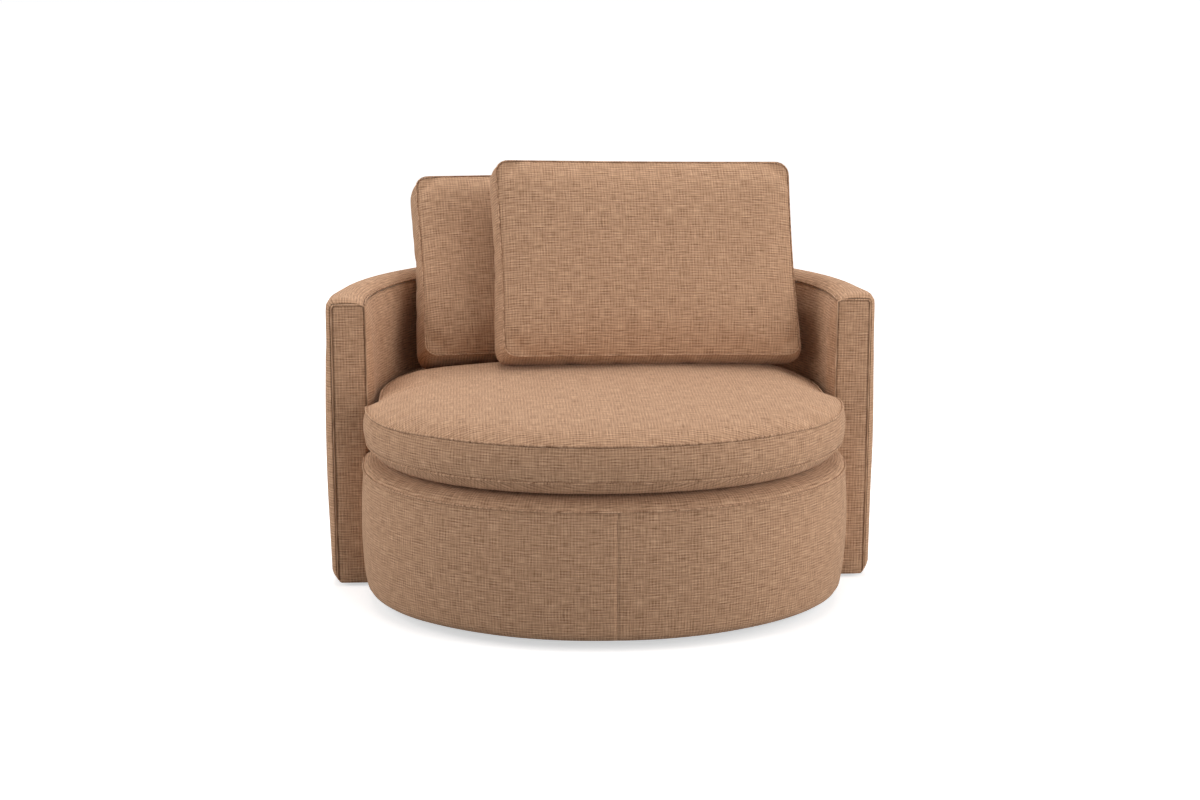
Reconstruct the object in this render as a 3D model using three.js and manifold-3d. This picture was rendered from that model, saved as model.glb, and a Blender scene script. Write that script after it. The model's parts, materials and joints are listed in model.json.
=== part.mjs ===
// Swivel cuddle chair: a low round-backed tub on a hidden swivel plinth, with a drum-shaped seat front,
// one crowned seat cushion and two boxed back cushions.
// Millimetres, +Z up, the seat faces -Y. The origin is on the floor, on the swivel axis.
import * as THREE from 'three';
import { mergeVertices } from 'three/addons/utils/BufferGeometryUtils.js';
import Module from 'manifold-3d';

const wasm = await Module();
wasm.setup();

// Overall form
const tubHalfWidth = 590;
const tubBackReach = 565;
const tubSetback = 106;
const armLead = 46;
const floorGap = 17;
const tubHeight = 618;
const wallThickness = 74;
const drumSideInset = 67;
const drumFrontReach = 419;
const drumHeight = 276;
const drumPlanPower = 2.15;

// Upholstery
const clothThickness = 1.6;
const fitGap = 0.3;
const wallOuterSwell = 11;
const wallInnerSwell = 14;
const armSwellShare = 0.1;
const hemTuck = 3;
const hemRise = 12;
const topEdgeRadius = 22;
const seamDrop = 5;
const drumSwell = 6;
const drumHemRadius = 22;
const drumShoulderWidth = 70;
const drumPadThickness = 31;
const weltRadius = 2.4;
const armPadThickness = 12;

// Wooden frame
const boardThickness = 15;
const frontBoardThickness = 12;
const linerThickness = 3;
const framePanelThickness = 18;
const framePanelCutRadius = 42;
const frameOuterInset = 16;
const frameInnerInset = 46.3;
const frameTopDrop = 30;
const railHeight = 38;
const studWidth = 42;
const studEase = 2.5;
const frameSideInset = 151;
const frameFrontInset = 197;
const frameRearInset = 286;

// Seat deck and springs
const springWireRadius = 2.2;
const springWave = 26;
const springPitch = 62;
const springCount = 4;
const clipSize = 16;
const deckPadThickness = 26;
const deckEdgeClearance = 2;

// Seat cushion
const seatSideInset = 7;
const seatFrontOverhang = 5;
const seatBottomSeamRise = 34;
const seatBoxingHeight = 77;
const seatBoxingSwell = 5;
const seatBottomRadius = 40;
const seatCrown = 46;
const seatFadeStart = 190;
const seatFadeEnd = 330;
const seatWallClearance = 2;
const seatArmEase = 12;

// Back cushions
const backCushionSideInset = 257;
const backCushionHeight = 432;
const backCushionBoxing = 118;
const backCushionCrown = 17;
const backCushionSwell = 4;
const backCushionCornerRadius = 34;
const backCushionSideDraw = 5;
const backCushionTurn = THREE.MathUtils.degToRad(7);
const frontCushionLean = THREE.MathUtils.degToRad(20);
const rearCushionLean = THREE.MathUtils.degToRad(29);
const frontCushionRoll = THREE.MathUtils.degToRad(1.2);
const frontCushionOffset = 125;
const frontCushionStart = 60;
const rearCushionOffset = -37;
const rearCushionStart = 150;
const startLift = 30;
const pushLimit = 150;

// Zips
const zipLengthShare = 0.6;
const zipWidth = 9;

// Swivel and plinth
const plinthRadius = 320;
const plinthThickness = 16;
const plinthChamfer = 3;
const glideHeight = 6;
const glideRadius = 15;
const glideInset = 35;
const glideCount = 6;
const swivelPlateSize = 300;
const swivelPlateCorner = 24;
const swivelPlateThickness = 2.5;
const raceRadius = 112;
const raceWidth = 16;
const raceHeight = 2.5;
const ballRadius = 3;
const ballCount = 14;
const cageThickness = 1.6;
const rivetRadius = 8;
const rivetHeadRadius = 13;
const rivetHeadHeight = 2.2;
const boltHeadRadius = 7;
const boltHeadHeight = 2;
const boltInset = 28;
const boltSides = 6;
const cutOverrun = 8;

// Smoothness
const tubStations = 24;
const drumStations = 22;
const seatHalfPoints = 18;
const cornerPoints = 4;
const edgePoints = 3;
const weltSides = 5;
const roundSegments = 36;
const smallRoundSegments = 12;
const holeSegments = 6;
const springSteps = 4;
const springTension = 0.9;
const wallSwellSteps = 4;
const drumSwellSteps = 5;
const ballSegments = 6;
const weldDistance = 1e-4;
const mitreLimit = 0.5;
const slideRounds = 6;
const pushRounds = 12;

// Levels and lines worked out from the sizes above
const drumHalfWidth = tubHalfWidth - drumSideInset;
const seatHalfWidth = drumHalfWidth - seatSideInset;
const seatFrontReach = drumFrontReach + seatFrontOverhang;
const frameHalfWidth = drumHalfWidth - frameSideInset;
const frameFrontReach = drumFrontReach - frameFrontInset;
const frameRearReach = tubSetback + tubBackReach - frameRearInset;
const backCushionWidth = 2 * (tubHalfWidth - backCushionSideInset);
const frontReach = seatFrontReach + seatBoxingSwell;
const backReach = tubSetback + tubBackReach + wallOuterSwell;
const drumCentreY = (frontReach - backReach) / 2;
const tubCentreY = drumCentreY + tubSetback;
const armFaceY = tubCentreY - armLead;
const armPadSetback = armPadThickness + clothThickness + 2 * fitGap;
const hemZ = floorGap;
const tubTopZ = floorGap + tubHeight;
const drumSeamZ = floorGap + drumHeight;
const plinthBaseZ = glideHeight;
const plinthTopZ = plinthBaseZ + plinthThickness;
const lowerPlateZ = plinthTopZ + fitGap;
const ballZ = lowerPlateZ + swivelPlateThickness + raceHeight + fitGap + ballRadius;
const upperPlateZ = ballZ + ballRadius + fitGap + raceHeight;
const bottomBoardZ = upperPlateZ + swivelPlateThickness + fitGap;
const bottomBoardTopZ = bottomBoardZ + boardThickness;
const frameFootZ = bottomBoardTopZ + fitGap;
const seatFrameTopZ = drumSeamZ - boardThickness / 2;
const deckPadZ = seatFrameTopZ + 2 * (springWireRadius + fitGap);
const deckPadTopZ = deckPadZ + deckPadThickness;
const deckZ = deckPadTopZ + fitGap + clothThickness;
const seatZ = deckZ + fitGap;
const seatLowerSeamZ = seatZ + seatBottomSeamRise;
const seatUpperSeamZ = seatLowerSeamZ + seatBoxingHeight;
const seatTopZ = seatUpperSeamZ + seatCrown;
const frameTopZ = tubTopZ - frameTopDrop;
const innerInset = wallThickness + wallInnerSwell;

const colours = {
  cloth: 0xb08a6b,
  foam: 0xe8dfc8,
  wood: 0xc9a877,
  liner: 0x9a7b55,
  steel: 0x9da0a3,
  black: 0x1f1f20,
};

function finish(colour, roughness, metalness) {
  return new THREE.MeshStandardMaterial({ color: colour, roughness, metalness });
}

const clothFinish = () => finish(colours.cloth, 0.92, 0);
const foamFinish = () => finish(colours.foam, 0.95, 0);
const woodFinish = () => finish(colours.wood, 0.7, 0);
const linerFinish = () => finish(colours.liner, 0.85, 0);
const steelFinish = () => finish(colours.steel, 0.35, 0.9);
const blackFinish = () => finish(colours.black, 0.6, 0);

const chair = new THREE.Group();

function add(name, geometry, material) {
  const mesh = new THREE.Mesh(geometry, material);
  mesh.name = name;
  chair.add(mesh);
  return mesh;
}

// Closed geometry from points and faces, turned so that its faces point outwards
function closedGeometry(points, faces) {
  const volume = faces.reduce((sum, [a, b, c]) => {
    const cross = new THREE.Vector3().crossVectors(points[b], points[c]);
    return sum + points[a].dot(cross);
  }, 0);
  const turned = volume < 0 ? faces.map(([a, b, c]) => [a, c, b]) : faces;
  const geometry = new THREE.BufferGeometry();
  const coordinates = points.flatMap((point) => point.toArray());
  geometry.setAttribute('position', new THREE.Float32BufferAttribute(coordinates, 3));
  geometry.setIndex(turned.flat());
  return geometry;
}

function bandFaces(ringTotal, count, wrapped) {
  const faces = [];
  const bands = wrapped ? ringTotal : ringTotal - 1;
  for (let ring = 0; ring < bands; ring++) {
    const next = (ring + 1) % ringTotal;
    for (let step = 0; step < count; step++) {
      const ahead = (step + 1) % count;
      const near = ring * count + step;
      const nearAhead = ring * count + ahead;
      const far = next * count + step;
      const farAhead = next * count + ahead;
      faces.push([near, nearAhead, farAhead], [near, farAhead, far]);
    }
  }
  return faces;
}

// Skin over a row of equal sections, closed by flat ends of the given outline
function sweptSolid(rings, outline) {
  const count = outline.length;
  const faces = bandFaces(rings.length, count, false);
  const flat = outline.map(([across, up]) => new THREE.Vector2(across, up));
  const outlineTurn = Math.sign(THREE.ShapeUtils.area(flat));
  const farStart = (rings.length - 1) * count;
  for (const corners of THREE.ShapeUtils.triangulateShape(flat, [])) {
    const turn = Math.sign(THREE.ShapeUtils.area(corners.map((corner) => flat[corner])));
    const [a, b, c] = turn === outlineTurn ? corners : [...corners].reverse();
    faces.push([a, c, b], [farStart + a, farStart + b, farStart + c]);
  }
  return closedGeometry(rings.flat(), faces);
}

// Skin over loops that shrink to a pole at each end
function pillowSolid(rings, firstPole, lastPole) {
  const count = rings[0].length;
  const faces = bandFaces(rings.length, count, false);
  const points = [...rings.flat(), firstPole, lastPole];
  const lastStart = (rings.length - 1) * count;
  for (let step = 0; step < count; step++) {
    const ahead = (step + 1) % count;
    faces.push([ahead, step, points.length - 2]);
    faces.push([lastStart + step, lastStart + ahead, points.length - 1]);
  }
  return closedGeometry(points, faces);
}

// Plan lines carry an inward normal at each point
function withNormals(line, closed) {
  const total = line.length;
  return line.map(([x, y], index) => {
    const before = closed ? line[(index + total - 1) % total] : line[Math.max(index - 1, 0)];
    const after = closed ? line[(index + 1) % total] : line[Math.min(index + 1, total - 1)];
    const along = new THREE.Vector2(after[0] - before[0], after[1] - before[1]).normalize();
    return { x, y, nx: -along.y, ny: along.x };
  });
}

function superArc(halfWidth, reach, power, start, end, steps) {
  const points = [];
  for (let step = 0; step <= steps; step++) {
    const angle = THREE.MathUtils.lerp(start, end, step / steps);
    const cosine = Math.cos(angle);
    const sine = Math.sin(angle);
    points.push([
      halfWidth * Math.sign(cosine) * Math.abs(cosine) ** (2 / power),
      reach * Math.sign(sine) * Math.abs(sine) ** (2 / power),
    ]);
  }
  return points;
}

// Tub plan from the right arm's face round the back to the left arm's face
function tubPlan(faceSetback, steps = tubStations) {
  const setbacks = faceSetback < armPadSetback ? [faceSetback, armPadSetback] : [faceSetback];
  const arm = setbacks.map((setback) => armFaceY + setback);
  const arc = superArc(tubHalfWidth, tubBackReach, 2, 0, Math.PI, steps);
  const line = [
    ...arm.map((y) => [tubHalfWidth, y]),
    ...arc.map(([x, y]) => [x, y + tubCentreY]),
    ...[...arm].reverse().map((y) => [-tubHalfWidth, y]),
  ];
  return withNormals(line, false);
}

// Drum plan from the left arm round the front to the right arm
function drumPlan() {
  const endY = armFaceY - fitGap;
  const arc = superArc(drumHalfWidth, drumFrontReach, drumPlanPower, Math.PI, 2 * Math.PI, drumStations);
  const line = [
    [-drumHalfWidth, endY],
    ...arc.map(([x, y]) => [x, y + drumCentreY]),
    [drumHalfWidth, endY],
  ];
  return withNormals(line, false);
}

function placed(station, inset, z) {
  return new THREE.Vector3(station.x + inset * station.nx, station.y + inset * station.ny, z);
}

function sweepAlong(plan, outline) {
  return sweptSolid(plan.map((station) => outline.map(([inset, z]) => placed(station, inset, z))), outline);
}

// Line moved sideways by a distance, to the right of its direction
function offsetLine(line, distance) {
  return line.map(([x, y], index) => {
    const before = line[Math.max(index - 1, 0)];
    const after = line[Math.min(index + 1, line.length - 1)];
    const first = new THREE.Vector2(x - before[0], y - before[1]).normalize();
    const second = new THREE.Vector2(after[0] - x, after[1] - y).normalize();
    const along = first.clone().add(second).normalize();
    const reach = distance / Math.max(along.dot(first.lengthSq() ? first : second), mitreLimit);
    return [x + reach * along.y, y - reach * along.x];
  });
}

// Line without its first stretch
function startedLater([first, second, ...rest], stretch) {
  const start = new THREE.Vector2(...first);
  const end = new THREE.Vector2(...second);
  return [start.lerp(end, stretch / start.distanceTo(end)).toArray(), second, ...rest];
}

function stripOutline(line, near, far) {
  return [...offsetLine(line, near), ...offsetLine(line, far).reverse()];
}

// Outer face of the tub wall, from the hem over the rounded top edge to the inner seam
function wallOuterLine(swellShare) {
  const points = [[hemTuck, hemZ]];
  const lowZ = hemZ + hemRise;
  const highZ = tubTopZ - topEdgeRadius;
  for (let step = 0; step <= wallSwellSteps; step++) {
    const share = step / wallSwellSteps;
    const swell = wallOuterSwell * swellShare * Math.sin(Math.PI * share);
    points.push([-swell, THREE.MathUtils.lerp(lowZ, highZ, share)]);
  }
  for (let step = 1; step <= cornerPoints - 1; step++) {
    const angle = (step / (cornerPoints - 1)) * Math.PI / 2;
    points.push([topEdgeRadius * (1 - Math.cos(angle)), highZ + topEdgeRadius * Math.sin(angle)]);
  }
  points.push([wallThickness - seamDrop, tubTopZ]);
  points.push([wallThickness, tubTopZ - seamDrop]);
  return points;
}

// Inner face of the tub wall, from the seam down over the padded swell to the deck
function wallInnerLine(swellShare) {
  const swellShares = [0, 0.3, 0.72, 0.93, 1, 0.94, 0.72];
  const dropShares = [0, 0.035, 0.13, 0.28, 0.5, 0.78, 1];
  const startZ = tubTopZ - seamDrop;
  const drop = startZ - seatFrameTopZ - fitGap;
  return dropShares.map((share, index) => [
    wallThickness + wallInnerSwell * swellShare * swellShares[index],
    startZ - drop * share,
  ]);
}

const wallLine = (swellShare) => [...wallOuterLine(swellShare), ...wallInnerLine(swellShare).slice(1)];

// Sweep round the tub. The arm fronts are cut nearly straight, and the wall swells in full behind them.
function sweepSwelling(plan, outlineAt) {
  const outlines = plan.map(({ y }) => {
    const leadShare = THREE.MathUtils.clamp((y - armFaceY) / armLead, 0, 1);
    return outlineAt(THREE.MathUtils.lerp(armSwellShare, 1, leadShare));
  });
  const rings = plan.map((station, index) => outlines[index].map(([inset, z]) => placed(station, inset, z)));
  return sweptSolid(rings, outlines[0]);
}

function makeTub() {
  const coverPlan = tubPlan(clothThickness + fitGap);
  const padInset = clothThickness + 1.5 * fitGap;
  const outerStrip = (swellShare) => stripOutline(wallOuterLine(swellShare), 0, clothThickness);
  add('tub_outer_cover', sweepSwelling(coverPlan, outerStrip), clothFinish());
  const innerStrip = (swellShare) => stripOutline(
    startedLater(wallInnerLine(swellShare), 2 * clothThickness),
    0,
    clothThickness,
  );
  add('tub_inner_cover', sweepSwelling(coverPlan, innerStrip), clothFinish());

  const padOutline = (swellShare) => {
    const padLine = offsetLine(wallLine(swellShare), padInset).slice(1);
    return [
      ...padLine,
      [frameInnerInset, padLine[padLine.length - 1][1]],
      [frameInnerInset, frameTopZ],
      [frameOuterInset, frameTopZ],
      [frameOuterInset, padLine[0][1]],
    ].reverse();
  };
  add('tub_padding', sweepSwelling(tubPlan(armPadSetback), padOutline), foamFinish());

  const weltReach = (weltRadius + fitGap) * Math.SQRT1_2;
  const weltInset = wallThickness - seamDrop / 2 + weltReach;
  const weltZ = tubTopZ - seamDrop / 2 + weltReach;
  const welt = coverPlan.map((station) => ({
    centre: placed(station, weltInset, weltZ),
    side: new THREE.Vector3(station.nx, station.ny, 0),
    up: new THREE.Vector3(0, 0, 1),
  }));
  const weltCord = cordSolid(welt, false);
  add('tub_welt', weltCord, clothFinish());
  return weltCord;
}

// Whole outside of the tub wall as one solid, for what leans on it
function tubForm() {
  return sweepSwelling(tubPlan(0), (swellShare) => {
    const line = wallLine(swellShare);
    return [...line, [line[line.length - 1][0], hemZ]];
  });
}

// Small round cord through stations that carry two cross directions
function cordSolid(stations, closed) {
  const rings = stations.map(({ centre, side, up }) => {
    const ring = [];
    for (let corner = 0; corner < weltSides; corner++) {
      const angle = (corner / weltSides) * 2 * Math.PI;
      ring.push(centre.clone()
        .addScaledVector(side, weltRadius * Math.cos(angle))
        .addScaledVector(up, weltRadius * Math.sin(angle)));
    }
    return ring;
  });
  if (closed) return closedGeometry(rings.flat(), bandFaces(rings.length, weltSides, true));
  const outline = rings[0].map((point, corner) => {
    const angle = (corner / weltSides) * 2 * Math.PI;
    return [Math.cos(angle), Math.sin(angle)];
  });
  return sweptSolid(rings, outline);
}

function extruded(outline, depth, holes = []) {
  const shape = new THREE.Shape(outline.map(([x, y]) => new THREE.Vector2(x, y)));
  for (const hole of holes) shape.holes.push(hole);
  return new THREE.ExtrudeGeometry(shape, { depth, bevelEnabled: false, curveSegments: holeSegments });
}

// Panel standing in the X-Z plane: its outline is drawn in X and Z and it runs back from frontY
function standingPanel(outline, frontY, depth, holes = []) {
  const geometry = extruded(outline, depth, holes);
  geometry.rotateX(Math.PI / 2);
  geometry.translate(0, frontY + depth, 0);
  return geometry;
}

function makeArmFronts() {
  const faceLine = wallLine(armSwellShare);
  const padLine = offsetLine(faceLine, clothThickness + fitGap);
  const weltEndZ = deckZ + 2 * weltRadius;
  const weltLine = offsetLine(faceLine.slice(1, -1), weltRadius);
  weltLine.push([weltLine[weltLine.length - 1][0], weltEndZ]);
  for (const [side, sign] of [['left', -1], ['right', 1]]) {
    const toX = ([inset, z]) => [sign * (tubHalfWidth - inset), z];
    const frontOutline = [...faceLine, [faceLine[faceLine.length - 1][0], hemZ]];
    add(`arm_panel_${side}`, standingPanel(frontOutline.map(toX), armFaceY, clothThickness), clothFinish());

    const padFoot = padLine[padLine.length - 1];
    const padOutline = [...padLine, [padFoot[0], padLine[0][1]]];
    const padY = armFaceY + clothThickness + fitGap;
    add(`arm_pad_${side}`, standingPanel(padOutline.map(toX), padY, armPadThickness), foamFinish());

    const boardY = padY + armPadThickness + fitGap;
    const boardOutline = [
      [frameOuterInset + fitGap, frameFootZ],
      [frameInnerInset - fitGap, frameFootZ],
      [frameInnerInset - fitGap, frameTopZ - fitGap],
      [frameOuterInset + fitGap, frameTopZ - fitGap],
    ];
    add(`arm_board_${side}`, standingPanel(boardOutline.map(toX), boardY, boardThickness), woodFinish());

    const welt = weltLine.map(([inset, z], index) => {
      const before = weltLine[Math.max(index - 1, 0)];
      const after = weltLine[Math.min(index + 1, weltLine.length - 1)];
      const along = new THREE.Vector2(after[0] - before[0], after[1] - before[1]).normalize();
      const [x] = toX([inset, z]);
      return {
        centre: new THREE.Vector3(x, armFaceY - fitGap - weltRadius, z),
        side: new THREE.Vector3(-sign * along.y, 0, -along.x),
        up: new THREE.Vector3(0, 1, 0),
      };
    });
    add(`arm_welt_${side}`, cordSolid(welt, false), clothFinish());
  }
}

// Curved rails, liners and studs inside the tub wall
function makeTubFrame() {
  const railSetback = armPadThickness + clothThickness + boardThickness + 4 * fitGap;
  const plan = tubPlan(railSetback);
  const linerOuter = [frameOuterInset + fitGap, frameOuterInset + fitGap + linerThickness];
  const linerInner = [frameInnerInset - fitGap - linerThickness, frameInnerInset - fitGap];
  const railInsets = [linerOuter[1] + fitGap, linerInner[0] - fitGap];
  const railTopZ = frameTopZ - fitGap;
  const block = ([near, far], lowZ, highZ) => [[near, lowZ], [far, lowZ], [far, highZ], [near, highZ]];
  add('outer_liner', sweepAlong(plan, block(linerOuter, frameFootZ, railTopZ)), linerFinish());
  add('inner_liner', sweepAlong(plan, block(linerInner, seatFrameTopZ + fitGap, railTopZ)), linerFinish());
  add('bottom_rail', sweepAlong(plan, block(railInsets, frameFootZ, frameFootZ + railHeight)), woodFinish());
  add('top_rail', sweepAlong(plan, block(railInsets, railTopZ - railHeight, railTopZ)), woodFinish());

  const studShares = [0.16, 0.39, 0.61, 0.84];
  const studLow = frameFootZ + railHeight + fitGap;
  const studHigh = railTopZ - railHeight - fitGap;
  studShares.forEach((share, index) => {
    const angle = share * Math.PI;
    const along = new THREE.Vector2(-tubHalfWidth * Math.sin(angle), tubBackReach * Math.cos(angle)).normalize();
    const station = {
      x: tubHalfWidth * Math.cos(angle),
      y: tubCentreY + tubBackReach * Math.sin(angle),
      nx: -along.y,
      ny: along.x,
    };
    const stud = new THREE.BoxGeometry(studWidth, railInsets[1] - railInsets[0] - 2 * studEase, studHigh - studLow);
    stud.rotateZ(Math.atan2(along.y, along.x));
    const centre = placed(station, (railInsets[0] + railInsets[1]) / 2, (studLow + studHigh) / 2);
    stud.translate(centre.x, centre.y, centre.z);
    add(`stud_${index + 1}`, stud, woodFinish());
  });
}

// Face of the drum from the rounded hem to the welt, then the shoulder in to the deck
function drumFaceLine() {
  const points = [];
  for (let step = 0; step < cornerPoints; step++) {
    const angle = (step / (cornerPoints - 1)) * Math.PI / 2;
    points.push([drumHemRadius * (1 - Math.sin(angle)), hemZ + drumHemRadius * (1 - Math.cos(angle))]);
  }
  const lowZ = hemZ + drumHemRadius;
  for (let step = 1; step <= drumSwellSteps; step++) {
    const share = step / drumSwellSteps;
    points.push([-drumSwell * Math.sin(Math.PI * share), THREE.MathUtils.lerp(lowZ, drumSeamZ, share)]);
  }
  return points;
}

function drumShoulderLine() {
  const insetShares = [0, 0.09, 0.28, 0.6, 1];
  const riseShares = [0, 0.42, 0.76, 0.95, 1];
  return insetShares.map((share, index) => [
    drumShoulderWidth * share,
    drumSeamZ + (deckZ - drumSeamZ) * riseShares[index],
  ]);
}

function makeDrum() {
  const plan = drumPlan();
  const middle = (plan.length - 1) / 2;
  const faceLine = drumFaceLine();
  const shoulderLine = drumShoulderLine();
  const strip = stripOutline(faceLine, 0, clothThickness);
  const leftPlan = plan.slice(0, middle + 1);
  const rightPlan = plan.slice(middle);
  leftPlan[middle] = { ...leftPlan[middle], x: -fitGap / 2 };
  rightPlan[0] = { ...rightPlan[0], x: fitGap / 2 };
  add('drum_panel_left', sweepAlong(leftPlan, strip), clothFinish());
  add('drum_panel_right', sweepAlong(rightPlan, strip), clothFinish());

  const padLine = offsetLine([...faceLine, ...shoulderLine.slice(1)], clothThickness + fitGap);
  const padFoot = padLine[1];
  const padOutline = [
    ...padLine.slice(1, -1),
    [drumShoulderWidth, deckPadTopZ],
    [drumShoulderWidth, seatFrameTopZ + fitGap],
    [drumPadThickness, seatFrameTopZ + fitGap],
    [drumPadThickness, padFoot[1]],
  ];
  add('drum_pad', sweepAlong(plan, padOutline), foamFinish());

  const boardInsets = [drumPadThickness + fitGap, drumPadThickness + fitGap + frontBoardThickness];
  const boardOutline = [
    [boardInsets[0], frameFootZ],
    [boardInsets[1], frameFootZ],
    [boardInsets[1], seatFrameTopZ],
    [boardInsets[0], seatFrameTopZ],
  ];
  add('front_board', sweepAlong(plan, boardOutline), woodFinish());

  const welt = plan.map((station) => ({
    centre: placed(station, -weltRadius - fitGap, drumSeamZ),
    side: new THREE.Vector3(station.nx, station.ny, 0),
    up: new THREE.Vector3(0, 0, 1),
  }));
  add('drum_welt', cordSolid(welt, false), clothFinish());
}

// Plan of what lies inside both the drum and the tub, each side with its own inset
function seatPlan(drumInset, tubInset, armSetback) {
  const front = drumPlan().map((station) => placed(station, drumInset, 0));
  const back = tubPlan(armSetback).map((station) => placed(station, tubInset, 0));
  const side = drumHalfWidth - drumInset;
  const step = armFaceY + armSetback;
  return [...front.map(({ x, y }) => [x, y]), [side, step], ...back.map(({ x, y }) => [x, y]), [-side, step]];
}

// Deck cloth: the flat deck and the rolled shoulder above the drum welt, in one piece
function makeDeck() {
  const padInset = drumShoulderWidth + fitGap;
  const tubInset = wallThickness + wallInnerSwell + deckEdgeClearance;
  const pad = extruded(seatPlan(padInset, tubInset, fitGap), deckPadThickness);
  pad.translate(0, 0, deckPadZ);
  add('deck_pad', pad, foamFinish());

  const shoulder = startedLater(drumShoulderLine(), clothThickness);
  const band = sweepAlong(drumPlan(), stripOutline(shoulder, 0, clothThickness));
  const sheet = extruded(seatPlan(padInset - 2 * clothThickness, tubInset, fitGap), clothThickness);
  sheet.translate(0, 0, deckZ - clothThickness);
  add('deck_cover', solidGeometry(solid(band).add(solid(sheet))), clothFinish());
}

// Booleans on closed geometries
function solid(geometry) {
  const bare = geometry.clone();
  bare.deleteAttribute('normal');
  bare.deleteAttribute('uv');
  const merged = mergeVertices(bare, weldDistance);
  return new wasm.Manifold(new wasm.Mesh({
    numProp: 3,
    vertProperties: new Float32Array(merged.attributes.position.array),
    triVerts: new Uint32Array(merged.index.array),
  }));
}

function solidGeometry(body) {
  const mesh = body.getMesh();
  const geometry = new THREE.BufferGeometry();
  geometry.setAttribute('position', new THREE.BufferAttribute(mesh.vertProperties, 3));
  geometry.setIndex(new THREE.BufferAttribute(mesh.triVerts, 1));
  return geometry;
}

function block(width, depth, height, x, y, z) {
  const geometry = new THREE.BoxGeometry(width, depth, height);
  geometry.translate(x, y, z);
  return geometry;
}

// Ply box frame under the deck, with round lightening holes
function makeSeatFrame() {
  const panelHeight = seatFrameTopZ - frameFootZ;
  const middleZ = frameFootZ + panelHeight / 2;
  const frontY = drumCentreY - frameFrontReach;
  const rearY = drumCentreY + frameRearReach;
  const pierced = (outline, centres) => {
    const holes = centres.map((centre) => {
      const hole = new THREE.Path();
      hole.absarc(centre, middleZ, framePanelCutRadius, 0, 2 * Math.PI, true);
      return hole;
    });
    return standingPanel(outline, 0, framePanelThickness, holes);
  };
  const crossHalf = frameHalfWidth - framePanelThickness - fitGap;
  const sideHalf = (rearY - frontY) / 2;
  const upright = (half) => [
    [-half, frameFootZ],
    [half, frameFootZ],
    [half, seatFrameTopZ],
    [-half, seatFrameTopZ],
  ];
  const crossShares = [-0.6, 0, 0.6];
  const crossHoles = crossShares.map((share) => share * crossHalf);
  const sideHoles = crossShares.map((share) => share * sideHalf);
  const frontPanel = pierced(upright(crossHalf), crossHoles);
  frontPanel.translate(0, frontY, 0);
  add('frame_panel_front', frontPanel, woodFinish());
  const rearPanel = pierced(upright(crossHalf), crossHoles);
  rearPanel.translate(0, rearY - framePanelThickness, 0);
  add('frame_panel_rear', rearPanel, woodFinish());
  for (const [side, sign] of [['left', -1], ['right', 1]]) {
    const sidePanel = pierced(upright(sideHalf), sideHoles);
    sidePanel.translate(0, -framePanelThickness / 2, 0);
    sidePanel.rotateZ(Math.PI / 2);
    const x = sign * (frameHalfWidth - framePanelThickness / 2);
    sidePanel.translate(x, (frontY + rearY) / 2, 0);
    add(`frame_panel_${side}`, sidePanel, woodFinish());
  }
  makeSprings(frontY + framePanelThickness / 2, rearY - framePanelThickness / 2, crossHalf);
}

// Zigzag springs from the front panel to the rear panel, each with a clip at both ends
function makeSprings(startY, endY, crossHalf) {
  const wireZ = seatFrameTopZ + fitGap + springWireRadius;
  const waves = Math.round((endY - startY - 2 * clipSize) / springPitch);
  const span = endY - startY;
  const wire = new THREE.Shape();
  wire.absarc(0, 0, springWireRadius, 0, 2 * Math.PI);
  for (let index = 0; index < springCount; index++) {
    const x = crossHalf * ((2 * index + 1) / springCount - 1);
    const points = [new THREE.Vector3(x, startY, wireZ)];
    for (let turn = 0; turn < 2 * waves; turn++) {
      const y = startY + span * (turn + 1) / (2 * waves + 1);
      const sway = turn % 2 ? -springWave : springWave;
      points.push(new THREE.Vector3(x + sway, y, wireZ));
    }
    points.push(new THREE.Vector3(x, endY, wireZ));
    const path = new THREE.CatmullRomCurve3(points, false, 'catmullrom', springTension);
    const steps = springSteps * waves;
    const zigzag = new THREE.ExtrudeGeometry(wire, { steps, extrudePath: path, curveSegments: 2 });
    const clips = [startY, endY].map((y) => block(
      clipSize,
      clipSize,
      2 * springWireRadius,
      x,
      y,
      wireZ,
    ));
    const body = clips.reduce((sum, clip) => sum.add(solid(clip)), solid(zigzag));
    add(`spring_${index + 1}`, solidGeometry(body), steelFinish());
  }
}

// Floor of the frame and the dust cloth under it, both open round the swivel
function makeBottom() {
  const hole = new THREE.Path();
  hole.absarc(0, 0, rivetHeadRadius + clipSize, 0, 2 * Math.PI, true);
  const frontInset = drumPadThickness + fitGap;
  const armSetback = armPadThickness + clothThickness + 3 * fitGap;
  const plan = seatPlan(frontInset, frameOuterInset + fitGap, armSetback);
  const board = extruded(plan, boardThickness, [hole]);
  board.translate(0, 0, bottomBoardZ);
  add('bottom_board', board, woodFinish());

  const half = swivelPlateSize / 2 + clipSize;
  const window = new THREE.Path([[-half, -half], [-half, half], [half, half], [half, -half]]
    .map(([x, y]) => new THREE.Vector2(x, y)));
  const cloth = extruded(plan, clothThickness / 2, [window]);
  cloth.translate(0, 0, bottomBoardZ - fitGap - clothThickness / 2);
  add('dust_cloth', cloth, blackFinish());
}

function roundedSquare(size, corner) {
  const half = size / 2;
  const straight = half - corner;
  const outline = [];
  for (const [signX, signY, start] of [[1, 1, 0], [-1, 1, 1], [-1, -1, 2], [1, -1, 3]]) {
    for (let step = 0; step < cornerPoints; step++) {
      const angle = (start + step / (cornerPoints - 1)) * Math.PI / 2;
      outline.push([signX * straight + corner * Math.cos(angle), signY * straight + corner * Math.sin(angle)]);
    }
  }
  return outline;
}

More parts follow.
